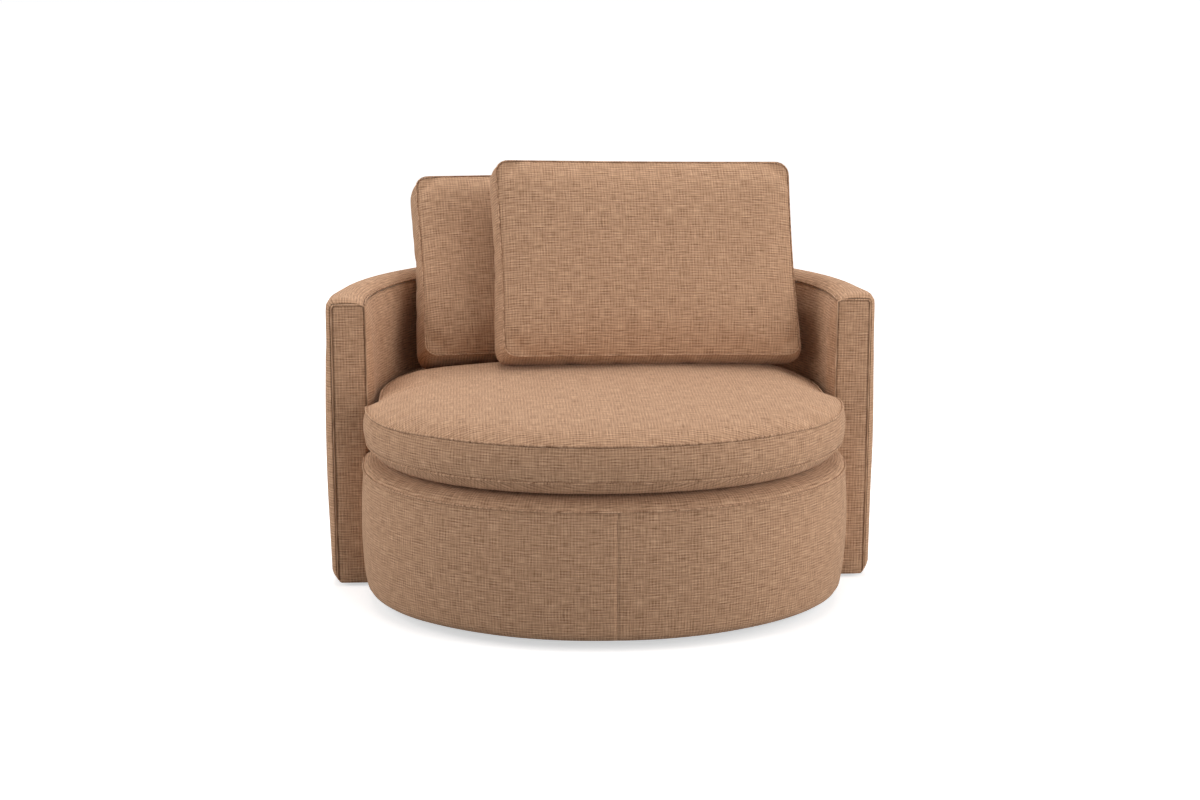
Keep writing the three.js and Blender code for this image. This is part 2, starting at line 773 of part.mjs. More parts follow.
function ring(innerRadius, outerRadius, lowZ, highZ) {
  const profile = [
    new THREE.Vector2(innerRadius, lowZ),
    new THREE.Vector2(outerRadius, lowZ),
    new THREE.Vector2(outerRadius, highZ),
    new THREE.Vector2(innerRadius, highZ),
    new THREE.Vector2(innerRadius, lowZ),
  ];
  const geometry = new THREE.LatheGeometry(profile, roundSegments);
  geometry.rotateX(Math.PI / 2);
  return geometry;
}

function disc(radius, lowZ, highZ, sides) {
  const geometry = new THREE.CylinderGeometry(radius, radius, highZ - lowZ, sides);
  geometry.rotateX(Math.PI / 2);
  geometry.translate(0, 0, (lowZ + highZ) / 2);
  return geometry;
}

// Pressed swivel plate with a ball race and four bolt heads on its far side from the balls
function swivelPlate(name, plateZ, raceSide) {
  const hole = new THREE.Path();
  hole.absarc(0, 0, rivetRadius + fitGap, 0, 2 * Math.PI, true);
  const sheet = extruded(roundedSquare(swivelPlateSize, swivelPlateCorner), swivelPlateThickness, [hole]);
  sheet.translate(0, 0, plateZ);
  const sheetTopZ = plateZ + swivelPlateThickness;
  const overlap = swivelPlateThickness / 2;
  const raceLow = raceSide > 0 ? sheetTopZ - overlap : plateZ - raceHeight;
  const raceHigh = raceSide > 0 ? sheetTopZ + raceHeight : plateZ + overlap;
  let body = solid(sheet).add(solid(ring(raceRadius - raceWidth / 2, raceRadius + raceWidth / 2, raceLow, raceHigh)));
  const boltPlace = swivelPlateSize / 2 - boltInset;
  const headLow = raceSide > 0 ? sheetTopZ - overlap : plateZ - boltHeadHeight;
  const headHigh = raceSide > 0 ? sheetTopZ + boltHeadHeight : plateZ + overlap;
  for (const [x, y] of [[1, 1], [-1, 1], [-1, -1], [1, -1]]) {
    const head = disc(boltHeadRadius, headLow, headHigh, boltSides);
    head.translate(x * boltPlace, y * boltPlace, 0);
    body = body.add(solid(head));
  }
  add(name, solidGeometry(body), steelFinish());
}

function makeSwivel() {
  const plinthProfile = [
    [rivetHeadRadius + fitGap, plinthBaseZ],
    [plinthRadius - plinthChamfer, plinthBaseZ],
    [plinthRadius, plinthBaseZ + plinthChamfer],
    [plinthRadius, plinthTopZ - plinthChamfer],
    [plinthRadius - plinthChamfer, plinthTopZ],
    [rivetHeadRadius + fitGap, plinthTopZ],
    [rivetHeadRadius + fitGap, plinthBaseZ],
  ].map(([radius, z]) => new THREE.Vector2(radius, z));
  const plinth = new THREE.LatheGeometry(plinthProfile, roundSegments);
  plinth.rotateX(Math.PI / 2);
  add('plinth', plinth, blackFinish());

  for (let index = 0; index < glideCount; index++) {
    const angle = (index + 0.5) / glideCount * 2 * Math.PI;
    const glide = disc(glideRadius, 0, glideHeight - fitGap, smallRoundSegments);
    glide.translate((plinthRadius - glideInset) * Math.cos(angle), (plinthRadius - glideInset) * Math.sin(angle), 0);
    add(`glide_${index + 1}`, glide, blackFinish());
  }

  swivelPlate('lower_swivel_plate', lowerPlateZ, 1);
  swivelPlate('upper_swivel_plate', upperPlateZ, -1);

  const cageHalfWidth = raceWidth / 2;
  let cage = solid(ring(raceRadius - cageHalfWidth, raceRadius + cageHalfWidth,
    ballZ - cageThickness / 2, ballZ + cageThickness / 2));
  for (let index = 0; index < ballCount; index++) {
    const angle = index / ballCount * 2 * Math.PI;
    const ball = new THREE.SphereGeometry(ballRadius, ballSegments, ballSegments - 2);
    ball.rotateX(Math.PI / 2);
    ball.translate(raceRadius * Math.cos(angle), raceRadius * Math.sin(angle), ballZ);
    cage = cage.add(solid(ball));
  }
  add('ball_cage', solidGeometry(cage), steelFinish());

  const rivetTopZ = upperPlateZ + swivelPlateThickness + fitGap;
  const rivetProfile = [
    [0, plinthTopZ - rivetHeadHeight],
    [rivetHeadRadius, plinthTopZ - rivetHeadHeight],
    [rivetHeadRadius, plinthTopZ],
    [rivetRadius, plinthTopZ],
    [rivetRadius, rivetTopZ],
    [rivetHeadRadius, rivetTopZ],
    [rivetHeadRadius, rivetTopZ + rivetHeadHeight],
    [0, rivetTopZ + rivetHeadHeight],
  ].map(([radius, z]) => new THREE.Vector2(radius, z));
  const rivet = new THREE.LatheGeometry(rivetProfile, smallRoundSegments);
  rivet.rotateX(Math.PI / 2);
  add('swivel_rivet', rivet, steelFinish());
}

// Rise of a crowned face at a share of the way from its middle to its seam
function crownRise(share) {
  const flatness = 5;
  return Math.sqrt(1 - share ** flatness);
}

const crownShares = [0.97, 0.88, 0.66, 0.33];
const seatCrownShares = [0.97, 0.85, 0.58, 0.3];
const edgeShares = [-0.32, 0, 0.32];
const bottomDrawShares = [0.36, 0.1];
const bottomRiseShares = [0.24, 0.6];

// Seat cushion loops, drawn in by an even distance from the finished outside.
// In front of the arms it stands out to the drum's width; between them it follows the tub's curve.
// Its crown fades away behind, where the back cushions press it flat.
function seatLoop(away, z) {
  const front = superArc(
    seatHalfWidth - away,
    seatFrontReach - away,
    drumPlanPower,
    Math.PI,
    2 * Math.PI,
    seatHalfPoints,
  );
  const tubInset = innerInset + seatWallClearance + seatBoxingSwell + away;
  const back = tubPlan(-seatArmEase, seatHalfPoints).map((station) => placed(station, tubInset, z));
  return [...front.map(([x, y]) => new THREE.Vector3(x, y + drumCentreY, z)), ...back];
}

function seatCushionSolid(inset) {
  const loop = (drawIn, z) => seatLoop(drawIn + inset, z);
  const bottomZ = seatZ + inset;
  const lowerRise = seatBottomSeamRise - inset;
  const rings = [
    loop(seatBottomRadius, bottomZ),
    loop(seatBottomRadius * bottomDrawShares[0], bottomZ + lowerRise * bottomRiseShares[0]),
    loop(seatBottomRadius * bottomDrawShares[1], bottomZ + lowerRise * bottomRiseShares[1]),
    loop(0, bottomZ + lowerRise),
    loop(-seatBoxingSwell, seatLowerSeamZ + seatBoxingHeight / 2),
    loop(0, seatUpperSeamZ - inset),
  ];
  const rim = rings[rings.length - 1];
  const outerRim = seatLoop(0, seatUpperSeamZ);
  const centre = new THREE.Vector3(0, (drumCentreY + tubCentreY) / 2, 0);
  const fadeStartY = drumCentreY + seatFadeStart;
  const fadeEndY = drumCentreY + seatFadeEnd;
  for (const share of seatCrownShares) {
    rings.push(rim.map(({ x, y }, index) => {
      const fadeY = centre.y + (outerRim[index].y - centre.y) * share;
      const kept = 1 - THREE.MathUtils.smoothstep(fadeY, fadeStartY, fadeEndY);
      const rise = (seatCrown - inset) * crownRise(share) * kept - inset * (1 - kept);
      return new THREE.Vector3(
        centre.x + (x - centre.x) * share,
        centre.y + (y - centre.y) * share,
        seatUpperSeamZ + rise,
      );
    }));
  }
  return pillowSolid(rings, centre.clone().setZ(bottomZ), centre.clone().setZ(seatTopZ - inset));
}

// Cover with a zip opening, the zip in it and the filling inside
function dressCushion(name, shape, zipBox, move) {
  const outside = solid(shape(0));
  const hollow = solid(shape(clothThickness));
  const shell = outside.subtract(hollow);
  const opening = solid(zipBox(0));
  const cover = shell.subtract(opening);
  const zip = shell.intersect(solid(zipBox(fitGap)));
  const fill = shape(clothThickness + fitGap);
  add(`${name}_cover`, move(solidGeometry(cover)), clothFinish());
  add(`${name}_zip`, move(solidGeometry(zip)), blackFinish());
  add(`${name}_filling`, move(fill), foamFinish());
}

function makeSeatCushion() {
  const backY = tubCentreY + tubBackReach - innerInset;
  const zipBox = (shrink) => block(
    2 * seatHalfWidth * zipLengthShare - 2 * shrink,
    4 * seatBottomRadius,
    zipWidth - 2 * shrink,
    0,
    backY,
    seatLowerSeamZ + seatBoxingHeight / 2,
  );
  dressCushion('seat_cushion', seatCushionSolid, zipBox, (geometry) => geometry);
}

// Outline of a boxed cushion's face, with rounded corners and slightly drawn-in sides
function cushionOutline(inset) {
  const half = backCushionWidth / 2 - inset;
  const high = backCushionHeight / 2 - inset;
  const radius = backCushionCornerRadius - inset;
  const outline = [];
  const corners = [[1, 1], [-1, 1], [-1, -1], [1, -1]];
  corners.forEach(([signX, signZ], corner) => {
    for (let step = 0; step < edgePoints; step++) {
      const angle = (corner + step / (edgePoints - 1)) * Math.PI / 2;
      outline.push([
        signX * (half - radius) + radius * Math.cos(angle),
        signZ * (high - radius) + radius * Math.sin(angle),
      ]);
    }
    const [nextX, nextZ] = corners[(corner + 1) % corners.length];
    const level = nextZ === signZ;
    for (const share of edgeShares) {
      const draw = backCushionSideDraw * (1 - 4 * share * share);
      outline.push(level
        ? [-signZ * share * 2 * (half - radius), signZ * (high - draw)]
        : [signX * (half - draw), signX * share * 2 * (high - radius)]);
    }
  });
  return outline;
}

function backCushionSolid(inset) {
  const halfBoxing = backCushionBoxing / 2;
  const loop = (drawIn, y) => cushionOutline(inset + drawIn).map(([x, z]) => new THREE.Vector3(x, y, z));
  const face = (sign) => crownShares.map((share) => cushionOutline(inset).map(([x, z]) => new THREE.Vector3(
    x * share,
    sign * (halfBoxing + (backCushionCrown - inset) * crownRise(share)),
    z * share,
  )));
  const rings = [
    ...face(-1).reverse(),
    loop(0, -halfBoxing),
    loop(-backCushionSwell, 0),
    loop(0, halfBoxing),
    ...face(1),
  ];
  const pole = halfBoxing + backCushionCrown - inset;
  return pillowSolid(rings, new THREE.Vector3(0, -pole, 0), new THREE.Vector3(0, pole, 0));
}

// Shift of a body that is pushed back and then slides down its slope until it rests on the seat
function restedShift(start, seat, back, down, push) {
  const shift = back.clone().multiplyScalar(push);
  for (let round = 0; round < slideRounds; round++) {
    const travel = start.translate(shift.toArray()).minGap(seat, startLift) - fitGap;
    shift.addScaledVector(down, travel);
  }
  return shift;
}

// Largest push at which the rested body still clears what it leans on
function leaningShift(start, seat, support, back, down) {
  let near = 0;
  let far = pushLimit;
  for (let round = 0; round < pushRounds; round++) {
    const push = (near + far) / 2;
    const shift = restedShift(start, seat, back, down, push);
    const clear = start.translate(shift.toArray()).minGap(support, startLift) > fitGap;
    if (clear) near = push;
    else far = push;
  }
  return restedShift(start, seat, back, down, near);
}

// Each back cushion rests on the seat and leans on what is behind it
function makeBackCushions(seat, tub) {
  const zipBox = (shrink) => block(
    backCushionWidth * zipLengthShare - 2 * shrink,
    zipWidth - 2 * shrink,
    4 * cutOverrun,
    0,
    0,
    -backCushionHeight / 2,
  );
  const places = [
    ['rear_cushion', rearCushionOffset, rearCushionStart, rearCushionLean, 0],
    ['front_cushion', frontCushionOffset, frontCushionStart, frontCushionLean, frontCushionRoll],
  ];
  const back = new THREE.Vector3(-Math.sin(backCushionTurn), Math.cos(backCushionTurn), 0);
  let support = tub;
  for (const [name, x, setback, lean, roll] of places) {
    const down = back.clone().multiplyScalar(-Math.sin(lean)).setZ(-Math.cos(lean));
    const turned = new THREE.Matrix4()
      .makeRotationZ(backCushionTurn)
      .multiply(new THREE.Matrix4().makeRotationX(-lean))
      .multiply(new THREE.Matrix4().makeRotationY(roll))
      .multiply(new THREE.Matrix4().makeTranslation(0, backCushionBoxing / 2, backCushionHeight / 2));
    turned.premultiply(new THREE.Matrix4().makeTranslation(x, drumCentreY + setback, seatTopZ + startLift
      + backCushionBoxing * Math.sin(lean)));
    const start = solid(backCushionSolid(0).applyMatrix4(turned));
    const shift = leaningShift(start, seat, support, back, down);
    turned.premultiply(new THREE.Matrix4().makeTranslation(shift.x, shift.y, shift.z));
    dressCushion(name, backCushionSolid, zipBox, (geometry) => geometry.applyMatrix4(turned));
    support = start.translate(shift.toArray());
  }
}

makeSwivel();
makeBottom();
makeTubFrame();
makeSeatFrame();
const tubWelt = makeTub();
makeArmFronts();
makeDrum();
makeDeck();
makeSeatCushion();
makeBackCushions(solid(seatCushionSolid(0)), solid(tubForm()).add(solid(tubWelt)));

export default chair;
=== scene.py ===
import json
import math

import bmesh
import bpy
import numpy as np
from mathutils import Matrix, Vector, noise


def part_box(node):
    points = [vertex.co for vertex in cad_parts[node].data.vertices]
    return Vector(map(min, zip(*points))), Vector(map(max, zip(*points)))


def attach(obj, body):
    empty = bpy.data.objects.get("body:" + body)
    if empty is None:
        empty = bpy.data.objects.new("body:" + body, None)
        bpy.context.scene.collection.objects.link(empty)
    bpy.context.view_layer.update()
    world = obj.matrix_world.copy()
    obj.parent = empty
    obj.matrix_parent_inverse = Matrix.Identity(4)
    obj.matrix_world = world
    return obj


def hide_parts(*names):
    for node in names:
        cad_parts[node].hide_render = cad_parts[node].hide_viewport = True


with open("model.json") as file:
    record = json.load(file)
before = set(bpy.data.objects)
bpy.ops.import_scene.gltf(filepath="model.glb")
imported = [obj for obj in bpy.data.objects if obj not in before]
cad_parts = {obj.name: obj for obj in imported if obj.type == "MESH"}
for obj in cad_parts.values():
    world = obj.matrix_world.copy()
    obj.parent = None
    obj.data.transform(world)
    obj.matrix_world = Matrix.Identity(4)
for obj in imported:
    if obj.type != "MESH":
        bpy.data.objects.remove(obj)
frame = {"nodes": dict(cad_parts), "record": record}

scene = bpy.context.scene
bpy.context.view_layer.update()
print("frame loaded")

# camera at the photograph's angle, for an image of 1200 x 800
cameraSettings = {
    "lens": 65.94, "sensorWidth": 36, "farLimit": 60,
    "location": (-0.293, -4.777, 1.478), "down": 12.68, "turn": -3.49,
}
bpy.ops.object.camera_add(
    location=cameraSettings["location"],
    rotation=(math.radians(90 - cameraSettings["down"]), 0, math.radians(cameraSettings["turn"])),
)
camera = bpy.context.object
camera.data.lens = cameraSettings["lens"]
camera.data.sensor_width = cameraSettings["sensorWidth"]
camera.data.clip_end = cameraSettings["farLimit"]
scene.camera = camera
scene.view_settings.view_transform = "Standard"


def newMaterial(name):
    material = bpy.data.materials.new(name)
    material.use_nodes = True
    nodes = material.node_tree.nodes
    return material, nodes, material.node_tree.links, nodes["Principled BSDF"]


def mathNode(nodes, links, operation, first, second=0.5):
    node = nodes.new("ShaderNodeMath")
    node.operation = operation
    for socket, value in zip(node.inputs, (first, second)):
        if isinstance(value, (int, float)):
            socket.default_value = value
        else:
            links.new(value, socket)
    return node.outputs[0]


def vectorNode(nodes, links, operation, first, second):
    node = nodes.new("ShaderNodeVectorMath")
    node.operation = operation
    links.new(first, node.inputs[0])
    if operation == "SCALE":
        node.inputs["Scale"].default_value = second
    elif isinstance(second, tuple):
        node.inputs[1].default_value = second
    else:
        links.new(second, node.inputs[1])
    return node.outputs[0]


def stretchedNoise(nodes, links, vector, stretch, detail=0):
    mapping = nodes.new("ShaderNodeMapping")
    mapping.inputs["Scale"].default_value = stretch
    links.new(vector, mapping.inputs["Vector"])
    texture = nodes.new("ShaderNodeTexNoise")
    texture.inputs["Scale"].default_value = 1
    texture.inputs["Detail"].default_value = detail
    links.new(mapping.outputs["Vector"], texture.inputs["Vector"])
    return texture.outputs["Fac"]


def colourRamp(nodes, links, value, stops):
    ramp = nodes.new("ShaderNodeValToRGB")
    while len(ramp.color_ramp.elements) < len(stops):
        ramp.color_ramp.elements.new(0.5)
    for element, (position, colour) in zip(ramp.color_ramp.elements, stops):
        element.position = position
        element.color = (*colour, 1)
    links.new(value, ramp.inputs["Fac"])
    return ramp.outputs["Color"]


def addBump(nodes, links, shader, height, settings):
    bump = nodes.new("ShaderNodeBump")
    bump.inputs["Strength"].default_value = settings["bumpStrength"]
    bump.inputs["Distance"].default_value = settings["bumpDistance"]
    links.new(height, bump.inputs["Height"])
    links.new(bump.outputs["Normal"], shader.inputs["Normal"])


wovenCloth = {
    "weftPitch": 0.0058, "warpPitch": 0.0066, "weftLineShare": 0.34, "warpLineShare": 0.26,
    "clarityStretch": (60, 110, 60), "weftSlubStretch": (34, 640, 34), "warpSlubStretch": (640, 34, 34),
    "weftSlubShare": 1.2, "warpSlubShare": 0.8, "patchStretch": (11, 26, 11), "patchDetail": 2,
    "heightShare": 0.6, "patchShare": 0.10, "toneDrop": 0.15,
    "wanderScale": 22, "wanderDetail": 2, "wander": 0.0035,
    # tones from low to high in the weave: slubs and patches give the yarn's own uneven tone, and the dark end, low
    # between the threads, is painted shade
    "tones": ((0.16, (0.25, 0.135, 0.076)), (0.5, (0.47, 0.275, 0.165)), (0.87, (0.68, 0.43, 0.275))),
    "bumpDistance": 0.0012, "bumpStrength": 0.6, "roughness": 0.95, "specular": 0.2,
    "sheen": 0.12, "sheenRoughness": 0.5, "sheenTint": (0.9, 0.75, 0.6),
}


# coarse plain weave with slubs both ways, drawn in metres on the piece's own pattern
def makeWovenCloth(name, onPattern=True, shade=1.0):
    material, nodes, links, shader = newMaterial(name)

    def weighted(value, share):
        return mathNode(nodes, links, "MULTIPLY", value, share)

    def added(first, second):
        return mathNode(nodes, links, "ADD", first, second)

    place = nodes.new("ShaderNodeTexCoord").outputs["UV" if onPattern else "Object"]
    wander = nodes.new("ShaderNodeTexNoise")
    wander.inputs["Scale"].default_value = wovenCloth["wanderScale"]
    wander.inputs["Detail"].default_value = wovenCloth["wanderDetail"]
    links.new(place, wander.inputs["Vector"])
    centred = vectorNode(nodes, links, "SUBTRACT", wander.outputs["Color"], (0.5, 0.5, 0.5))
    shift = vectorNode(nodes, links, "SCALE", centred, wovenCloth["wander"])
    cloth = vectorNode(nodes, links, "ADD", place, shift)
    split = nodes.new("ShaderNodeSeparateXYZ")
    links.new(cloth, split.inputs[0])
    threads = {}
    for thread, axis in (("weft", "Y"), ("warp", "X")):
        turns = weighted(split.outputs[axis], 2 * math.pi / wovenCloth[thread + "Pitch"])
        slubs = stretchedNoise(nodes, links, cloth, wovenCloth[thread + "SlubStretch"])
        threads[thread + "Lines"] = weighted(mathNode(nodes, links, "SINE", turns), wovenCloth[thread + "LineShare"])
        threads[thread + "Slubs"] = weighted(slubs, wovenCloth[thread + "SlubShare"])
    clarity = stretchedNoise(nodes, links, cloth, wovenCloth["clarityStretch"])
    patches = stretchedNoise(nodes, links, cloth, wovenCloth["patchStretch"], wovenCloth["patchDetail"])
    lines = added(threads["weftLines"], threads["warpLines"])
    height = added(added(threads["weftSlubs"], threads["warpSlubs"]), weighted(lines, clarity))
    # the weave's height sets the tone: the yarn's own slub and patch tone, with painted shade where the weave lies low
    # between the threads
    tone = added(weighted(height, wovenCloth["heightShare"]), weighted(patches, wovenCloth["patchShare"]))
    tone = mathNode(nodes, links, "SUBTRACT", tone, wovenCloth["toneDrop"])
    colour = colourRamp(nodes, links, tone, [
        (position, tuple(shade * part for part in tint)) for position, tint in wovenCloth["tones"]
    ])
    links.new(colour, shader.inputs["Base Color"])
    addBump(nodes, links, shader, height, wovenCloth)
    shader.inputs["Roughness"].default_value = wovenCloth["roughness"]
    shader.inputs["Specular IOR Level"].default_value = wovenCloth["specular"]
    shader.inputs["Sheen Weight"].default_value = wovenCloth["sheen"]
    shader.inputs["Sheen Roughness"].default_value = wovenCloth["sheenRoughness"]
    shader.inputs["Sheen Tint"].default_value = (*wovenCloth["sheenTint"], 1)
    return material


grain = {"detail": 5, "darkAt": 0.3, "lightAt": 0.7, "bumpDistance": 0.0003, "bumpStrength": 0.4}


def makeGrained(name, dark, light, stretch, roughness, metallic=0.0):
    material, nodes, links, shader = newMaterial(name)
    place = nodes.new("ShaderNodeTexCoord").outputs["Object"]
    height = stretchedNoise(nodes, links, place, stretch, grain["detail"])
    colour = colourRamp(nodes, links, height, [(grain["darkAt"], dark), (grain["lightAt"], light)])
    links.new(colour, shader.inputs["Base Color"])
    addBump(nodes, links, shader, height, grain)
    shader.inputs["Roughness"].default_value = roughness
    shader.inputs["Metallic"].default_value = metallic
    return material


coverCloth = makeWovenCloth("coverCloth")
weltCloth = makeWovenCloth("weltCloth", onPattern=False)
# the cloth darkened to 0.6: painted shade, drawn as thin dark lines where the grooves of the stitched seams lie in
# shade
seamCloth = makeWovenCloth("seamCloth", onPattern=False, shade=0.6)
finishes = {
    "cloth": weltCloth,
    "foam": makeGrained("foam", (0.72, 0.66, 0.52), (0.85, 0.8, 0.68), (260, 260, 260), 0.95),
    "dust_cloth": makeGrained("dustCloth", (0.012, 0.012, 0.013), (0.03, 0.03, 0.032), (700, 90, 90), 0.9),
    "frame_wood": makeGrained("frameWood", (0.42, 0.27, 0.13), (0.62, 0.45, 0.26), (9, 120, 120), 0.65),
    "hardboard": makeGrained("hardboard", (0.20, 0.12, 0.06), (0.3, 0.19, 0.10), (400, 400, 400), 0.8),
    "steel": makeGrained("zincPlate", (0.45, 0.46, 0.47), (0.62, 0.63, 0.64), (60, 900, 60), 0.38, metallic=0.9),
    "black_plastic": makeGrained("blackPlastic", (0.012, 0.012, 0.012), (0.02, 0.02, 0.02), (900, 900, 900), 0.5),
}
slotOf = {part["node"]: part["material_slot"] for part in frame["record"]["subparts"]}
for name, node in frame["nodes"].items():
    node.data.materials.clear()
    node.data.materials.append(finishes[slotOf[name]])
print("finishes made")


# lines of the chair in metres: the solids' own lines, moved a little where the photograph's cloth is fuller
tub = {
    "halfWidth": 0.590, "backReach": 0.565, "centreY": -0.0205, "armFaceY": -0.0665, "armLead": 0.046,
    "armSwell": 0.1, "hemZ": 0.007, "topZ": 0.635, "wall": 0.074, "outerSwell": 0.008, "innerSwell": 0.014,
    "edgeRadius": 0.022, "faceRadius": 0.006, "seamDrop": 0.005, "hemTuck": 0.008, "hemRise": 0.018, "deckZ": 0.284,
    "topCrown": 0.0025, "rimTuck": 0.0005, "rimDropShare": 0.8, "smoothingRounds": 3,
    "innerSwellShares": (0, 0.3, 0.72, 0.93, 1, 0.94, 0.72), "innerDropShares": (0, 0.035, 0.13, 0.28, 0.5, 0.78, 1),
}
drum = {
    "halfWidth": 0.523, "reach": 0.419, "centreY": -0.1265, "power": 2.15,
    "hemZ": 0.017, "seamZ": 0.293, "hemRadius": 0.022, "swell": 0.006, "shoulder": 0.070, "deckZ": 0.3184,
}
linePoints = {
    "arc": 400, "arm": 12, "drumSide": 8, "hem": 8, "outerWall": 40, "edge": 12, "top": 12, "innerWall": 60,
    "drumHem": 10, "drumFace": 30, "tubWelt": 260, "drumWelt": 240, "seat": 300,
}
clothThickness = 0.0016
clothGap = 0.0004
tiny = 1e-6


def superPoint(halfWidth, reach, power, angle):
    cosine, sine = math.cos(angle), math.sin(angle)
    return (
        halfWidth * math.copysign(abs(cosine) ** (2 / power), cosine),
        reach * math.copysign(abs(sine) ** (2 / power), sine),
    )


# a line seen from above, with its length and its inward direction at each point
def densePlan(points):
    points = np.array(points)
    steps = np.linalg.norm(np.diff(points, axis=0), axis=1)
    length = np.concatenate(([0], np.cumsum(steps)))
    along = np.gradient(points, length, axis=0)
    along /= np.linalg.norm(along, axis=1)[:, None]
    inward = np.stack((-along[:, 1], along[:, 0]), axis=1)
    return {"points": points, "length": length, "inward": inward}


def planAt(plan, share):
    distance = share * plan["length"][-1]
    x = np.interp(distance, plan["length"], plan["points"][:, 0])
    y = np.interp(distance, plan["length"], plan["points"][:, 1])
    nx = np.interp(distance, plan["length"], plan["inward"][:, 0])
    ny = np.interp(distance, plan["length"], plan["inward"][:, 1])
    size = math.hypot(nx, ny)
    return x, y, nx / size, ny / size, distance


def makeTubPlan(setback):
    start = tub["armFaceY"] + setback
    arm = [(tub["halfWidth"], y) for y in np.linspace(start, tub["centreY"], linePoints["arm"])[:-1]]
    arc = [
        (tub["halfWidth"] * math.cos(angle), tub["centreY"] + tub["backReach"] * math.sin(angle))
        for angle in np.linspace(0, math.pi, linePoints["arc"])
    ]
    return densePlan(arm + arc + [(-x, y) for x, y in reversed(arm)])


# the drum's front from left to right between two shares of the way, with its straight sides at either end
def makeDrumPlan(start, end):
    points = []
    for angle in np.linspace(math.pi * (1 + start), math.pi * (1 + end), linePoints["arc"]):
        x, y = superPoint(drum["halfWidth"], drum["reach"], drum["power"], angle)
        points.append((x, y + drum["centreY"]))
    sideYs = np.linspace(tub["armFaceY"] - clothGap, drum["centreY"], linePoints["drumSide"])[:-1]
    if start == 0:
        points = [(-drum["halfWidth"], y) for y in sideYs] + points
    if end == 1:
        points += [(drum["halfWidth"], y) for y in reversed(sideYs)]
    return densePlan(points)


def evenLine(points, count):
    points = np.array(points)
    length = np.concatenate(([0], np.cumsum(np.linalg.norm(np.diff(points, axis=0), axis=1))))
    places = np.linspace(0, length[-1], count + 1)
    return [(np.interp(p, length, points[:, 0]), np.interp(p, length, points[:, 1]), p) for p in places]


def denseLine(points, spacing):
    steps = np.diff(np.array(points), axis=0)
    return evenLine(points, max(2, round(np.linalg.norm(steps, axis=1).sum() / spacing)))


# the tub's outside from hem to rim seam: inset from the plan, and height
def outerWallLine(swellShare=1, radius=tub["edgeRadius"]):
    points = []
    for share in np.linspace(0, 1, linePoints["hem"])[:-1]:
        points.append((tub["hemTuck"] * (1 - math.sqrt(1 - (1 - share) ** 2)), tub["hemZ"] + tub["hemRise"] * share))
    lowZ, highZ = tub["hemZ"] + tub["hemRise"], tub["topZ"] - radius
    for share in np.linspace(0, 1, linePoints["outerWall"]):
        swell = tub["outerSwell"] * swellShare * math.sin(math.pi * share)
        points.append((-swell, lowZ + (highZ - lowZ) * share))
    for share in np.linspace(0, 1, linePoints["edge"])[1:]:
        angle = share * math.pi / 2
        points.append((radius * (1 - math.cos(angle)), highZ + radius * math.sin(angle)))
    seam = tub["wall"] - tub["seamDrop"]
    for share in np.linspace(0, 1, linePoints["top"])[1:]:
        inset = radius + (seam - radius) * share
        points.append((inset, tub["topZ"] + tub["topCrown"] * swellShare * math.sin(math.pi * share)))
    points.append((tub["wall"] - tub["rimTuck"], tub["topZ"] - tub["seamDrop"] * tub["rimDropShare"]))
    return points


def innerWallLine(swellShare=1):
    startZ = tub["topZ"] - tub["seamDrop"]
    smooth = np.linspace(0, 1, linePoints["innerWall"])
    swells = np.interp(smooth, tub["innerDropShares"], tub["innerSwellShares"])
    for _ in range(tub["smoothingRounds"]):
        swells[1:-1] = (swells[:-2] + swells[1:-1] + swells[2:]) / 3
    return [(tub["wall"] + tub["innerSwell"] * swellShare * swell, startZ - (startZ - tub["deckZ"]) * share)
            for share, swell in zip(smooth, swells)]


def rimLine(plan, inset, z, count):
    points = []
    for share in np.linspace(0, 1, count):
        x, y, nx, ny, _ = planAt(plan, share)
        points.append((x + inset * nx, y + inset * ny, z))
    return points


def deselectAll():
    if bpy.context.object and bpy.context.object.mode != "OBJECT":
        bpy.ops.object.mode_set(mode="OBJECT")
    bpy.ops.object.select_all(action="DESELECT")


def useOnly(piece):
    deselectAll()
    piece.select_set(True)
    bpy.context.view_layer.objects.active = piece


def applyModifier(piece, modifier):
    useOnly(piece)
    bpy.ops.object.modifier_apply(modifier=modifier.name)


def finishPiece(piece, body, nodes, material=coverCloth):
    piece.data.materials.clear()
    piece.data.materials.append(material)
    useOnly(piece)
    bpy.ops.object.shade_smooth()
    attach(piece, body)
    if nodes:
        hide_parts(*nodes)
    return piece


# a grid of cloth wrapped over a form: placeAt gives the place and the pattern's place in metres
def wrapCloth(name, columns, rows, placeAt, outward, evenWall=True):
    deselectAll()
    bpy.ops.mesh.primitive_grid_add(x_subdivisions=columns, y_subdivisions=rows, size=1)
    piece = bpy.context.object
    piece.name = name
    mesh = piece.data
    places = [placeAt(vertex.co.x + 0.5, vertex.co.y + 0.5) for vertex in mesh.vertices]
    pattern = mesh.uv_layers.active.data
    for loop in mesh.loops:
        pattern[loop.index].uv = places[loop.vertex_index][1]
    for vertex, (place, _) in zip(mesh.vertices, places):
        vertex.co = place
    mesh.update()
    middle = mesh.polygons[len(mesh.polygons) // 2]
    if middle.normal.dot(outward(middle.center)) < 0:
        bpy.ops.object.mode_set(mode="EDIT")
        bpy.ops.mesh.select_all(action="SELECT")
        bpy.ops.mesh.flip_normals()
        bpy.ops.object.mode_set(mode="OBJECT")
    wall = piece.modifiers.new("wall", "SOLIDIFY")
    wall.thickness = clothThickness
    wall.offset = -1
    wall.use_even_offset = evenWall
    applyModifier(piece, wall)
    return piece


# soft unevenness up to the given amount; another seed gives another run of it
def ripple(place, size, amount, seed=0.0):
    return amount * noise.noise(Vector(place) / size + Vector((seed, seed * 0.7, 3.1)))


def easeAtEnds(share, reach=0.06):
    return min(1, share / reach, (1 - share) / reach)


def smoothStep(value, start, end):
    share = min(1, max(0, (value - start) / (end - start)))
    return share * share * (3 - 2 * share)


